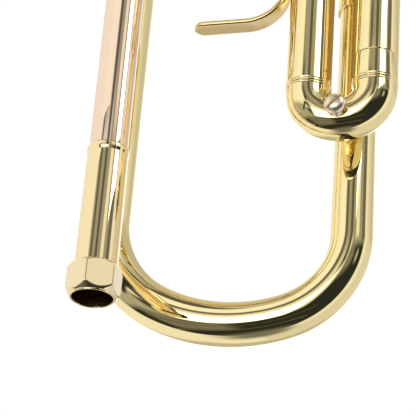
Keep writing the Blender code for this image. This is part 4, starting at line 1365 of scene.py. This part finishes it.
def over(below, colour, mask):
    """Paints a colour over what is below, where the mask says."""
    node = nodes.new("ShaderNodeMix")
    node.data_type = "RGBA"
    links.new(mask, node.inputs["Factor"])
    if isinstance(below, tuple):
        node.inputs["A"].default_value = (*below, 1)
    else:
        links.new(below, node.inputs["A"])
    node.inputs["B"].default_value = (*colour, 1)
    return node.outputs["Result"]


direction = nodes.new("ShaderNodeTexCoord").outputs["Generated"]
split = nodes.new("ShaderNodeSeparateXYZ")
links.new(direction, split.inputs["Vector"])
to_right, to_front, to_top = split.outputs["X"], split.outputs["Y"], split.outputs["Z"]
DEGREE = math.pi / 180
roll = sum_of("DIVIDE", sum_of("ARCTAN2", to_top, to_right), DEGREE)
rise = sum_of("DIVIDE", sum_of("ARCSINE", to_front), DEGREE)


def panel(below, rolls, rises, soft, colour, lean=0.0):
    """A soft-edged patch of light: rolls and rises are its limits in degrees. lean slants its sides."""
    across = sum_of("ADD", roll, sum_of("MULTIPLY", rise, lean)) if lean else roll
    sides = sum_of("MULTIPLY", edge(across, rolls[0] - soft, rolls[0] + soft),
                   edge(across, rolls[1] + soft, rolls[1] - soft))
    rims = sum_of("MULTIPLY", edge(rise, rises[0] - soft, rises[0] + soft),
                  edge(rise, rises[1] + soft, rises[1] - soft))
    return over(below, colour, sum_of("MULTIPLY", sides, rims))


WHITE_TABLE = (0.77, 0.77, 0.78)
LAMP = (2.6, 2.6, 2.6)
DARK_ROOM = (0.026, 0.030, 0.028)


def grey(level):
    """A dim, slightly green level, like unlit parts of the room."""
    return (level, level, level * 0.92)


light = over(WHITE_TABLE, (0.95, 0.95, 0.98), edge(roll, -106, -94))
light = panel(light, (-300, -96), (34, 95), 5, grey(0.55))
light = panel(light, (100, 300), (52, 95), 8, grey(0.62))
light = panel(light, (146, 300), (-45, 4), 8, grey(0.55))
light = panel(light, (-300, -160), (-35, 4), 8, grey(0.55))
light = panel(light, (-152, -118), (22, 40), 5, grey(0.62))
light = panel(light, (142, 300), (0, 34), 6, (1.7, 1.7, 1.75))
light = panel(light, (-300, -163), (0, 34), 6, (1.2, 1.2, 1.25))
light = panel(light, (128, 160), (36, 50), 4, (1.2, 1.2, 1.3))
light = over(light, DARK_ROOM, edge(to_right, 0.08, 0.16))
light = over(light, grey(0.2), edge(rise, -62, -84))

light = panel(light, (-86, 84), (18, 95), 4, grey(0.37))
light = panel(light, (-84, -67), (20, 40), 2, grey(0.16))
light = panel(light, (-60, -16), (52, 68), 5, grey(0.55))
light = panel(light, (-58, -20), (44, 54), 4, grey(0.8))
light = panel(light, (-44, -10), (4, 18), 6, grey(0.24))
light = panel(light, (-51, -35), (23, 40), 3, grey(0.95))
light = panel(light, (-64, -55), (4, 13), 3, grey(0.5))
light = panel(light, (9, 19), (20, 32), 2, grey(0.13))
light = panel(light, (-4, 28), (44, 75), 3, grey(0.12))
light = panel(light, (30, 92), (4, 56), 3, (1.0, 1.0, 0.97), 0.1)
light = panel(light, (28, 92), (56, 80), 5, grey(0.6))
light = panel(light, (36, 84), (-24, 8), 5, grey(0.45))
light = panel(light, (16, 60), (-48, -20), 6, grey(0.2))
light = panel(light, (-52, 72), (-52, -49), 1.5, (0.14, 0.11, 0.07), 0.05)
light = panel(light, (-40, 64), (-33, -31), 1, (0.11, 0.10, 0.08), 0.05)
light = panel(light, (-17, 26), (-14, 24), 4, (0.9, 0.9, 0.85), 0.3)
light = panel(light, (-9, 27), (-16, 12), 3, LAMP, 0.4)
light = panel(light, (41, 45), (-6, 26), 1, DARK_ROOM, 1.0)
light = panel(light, (-18, -6), (15, 60), 2, grey(0.12))
links.new(light, room.inputs["Color"])

sees = nodes.new("ShaderNodeLightPath")
plain = nodes.new("ShaderNodeBackground")
plain.inputs["Color"].default_value = (1, 1, 1, 1)
choose = nodes.new("ShaderNodeMixShader")
links.new(sees.outputs["Is Camera Ray"], choose.inputs["Fac"])
links.new(room.outputs["Background"], choose.inputs[1])
links.new(plain.outputs["Background"], choose.inputs[2])
links.new(choose.outputs["Shader"], nodes["World Output"].inputs["Surface"])
print("the room is drawn with", len(nodes), "nodes")

# %% [markdown]
# ## Cards close to the instrument
#
# A far room reflects alike in every tube. Cards that stand close don't: each tube sees them from its
# own place, so their reflections shift from tube to tube, as they do in a real studio. They are seen
# only in reflections, and cast no shadow. Two are lit cards; the third is painted shade, a dim brownish
# sheet between the first slide's legs that the tubes behind reflect.

# %% Stand three cards round it


def card(name, middle_at, along, across, level):
    """A lit rectangle: along and across run from its middle to the middles of two of its sides."""
    mesh = bpy.data.meshes.new(name)
    shape = bmesh.new()
    corners = [middle_at + along * a + across * b for a, b in ((-1, -1), (1, -1), (1, 1), (-1, 1))]
    shape.faces.new([shape.verts.new(corner) for corner in corners])
    shape.to_mesh(mesh)
    shape.free()
    lit = bpy.data.materials.new(name)
    lit.use_nodes = True
    shader = lit.node_tree.nodes["Principled BSDF"]
    shader.inputs["Base Color"].default_value = (0, 0, 0, 1)
    shader.inputs["Emission Color"].default_value = (*level, 1)
    shader.inputs["Emission Strength"].default_value = 1.0
    mesh.materials.append(lit)
    board = bpy.data.objects.new(name, mesh)
    bpy.context.scene.collection.objects.link(board)
    for kind in ("camera", "diffuse", "shadow", "transmission", "volume_scatter"):
        setattr(board, "visible_" + kind, False)
    return board


card("low_card", Vector((0.071, -0.015, -0.108)), Vector((0, 0.045, 0)), Vector((0.031, 0, 0)), LAMP)
card("front_card", Vector((0.132, 0.001, 0.07)), Vector((0, 0.059, 0)), Vector((0, 0, 0.045)),
     (1.0, 1.0, 0.97))
# gap_shade is painted shade: a dim brownish-gold sheet between the first slide's legs, which the tubes
# behind reflect in place of the shaded brass there.
card("gap_shade", Vector((0, -0.062, first_mid_z)), Vector((0, 0.026, 0)),
     Vector((0, 0, first_half - SLEEVE_R - 0.3 * MM)), (0.30, 0.17, 0.05))

# %% [markdown]
# ## The floor
#
# A plain pale floor lies below the instrument for the views from the sides.

# %% The floor
FLOOR_Z = -0.2
floor_mesh = bpy.data.meshes.new("floor")
sheet = bmesh.new()
bmesh.ops.create_grid(sheet, x_segments=1, y_segments=1, size=12)
sheet.to_mesh(floor_mesh)
sheet.free()
floor = bpy.data.objects.new("floor", floor_mesh)
bpy.context.scene.collection.objects.link(floor)
floor.location.z = FLOOR_Z
floor.visible_glossy = False
paint = bpy.data.materials.new("pale_floor")
paint.use_nodes = True
mottle = paint.node_tree.nodes.new("ShaderNodeTexNoise")
mottle.inputs["Scale"].default_value = 6
shades = paint.node_tree.nodes.new("ShaderNodeMix")
shades.data_type = "RGBA"
shades.inputs["A"].default_value = (0.91, 0.91, 0.90, 1)
shades.inputs["B"].default_value = (0.88, 0.88, 0.87, 1)
paint.node_tree.links.new(mottle.outputs["Fac"], shades.inputs["Factor"])
paint_shader = paint.node_tree.nodes["Principled BSDF"]
paint.node_tree.links.new(shades.outputs["Result"], paint_shader.inputs["Base Color"])
paint.node_tree.nodes["Principled BSDF"].inputs["Roughness"].default_value = 0.8
floor_mesh.materials.append(paint)
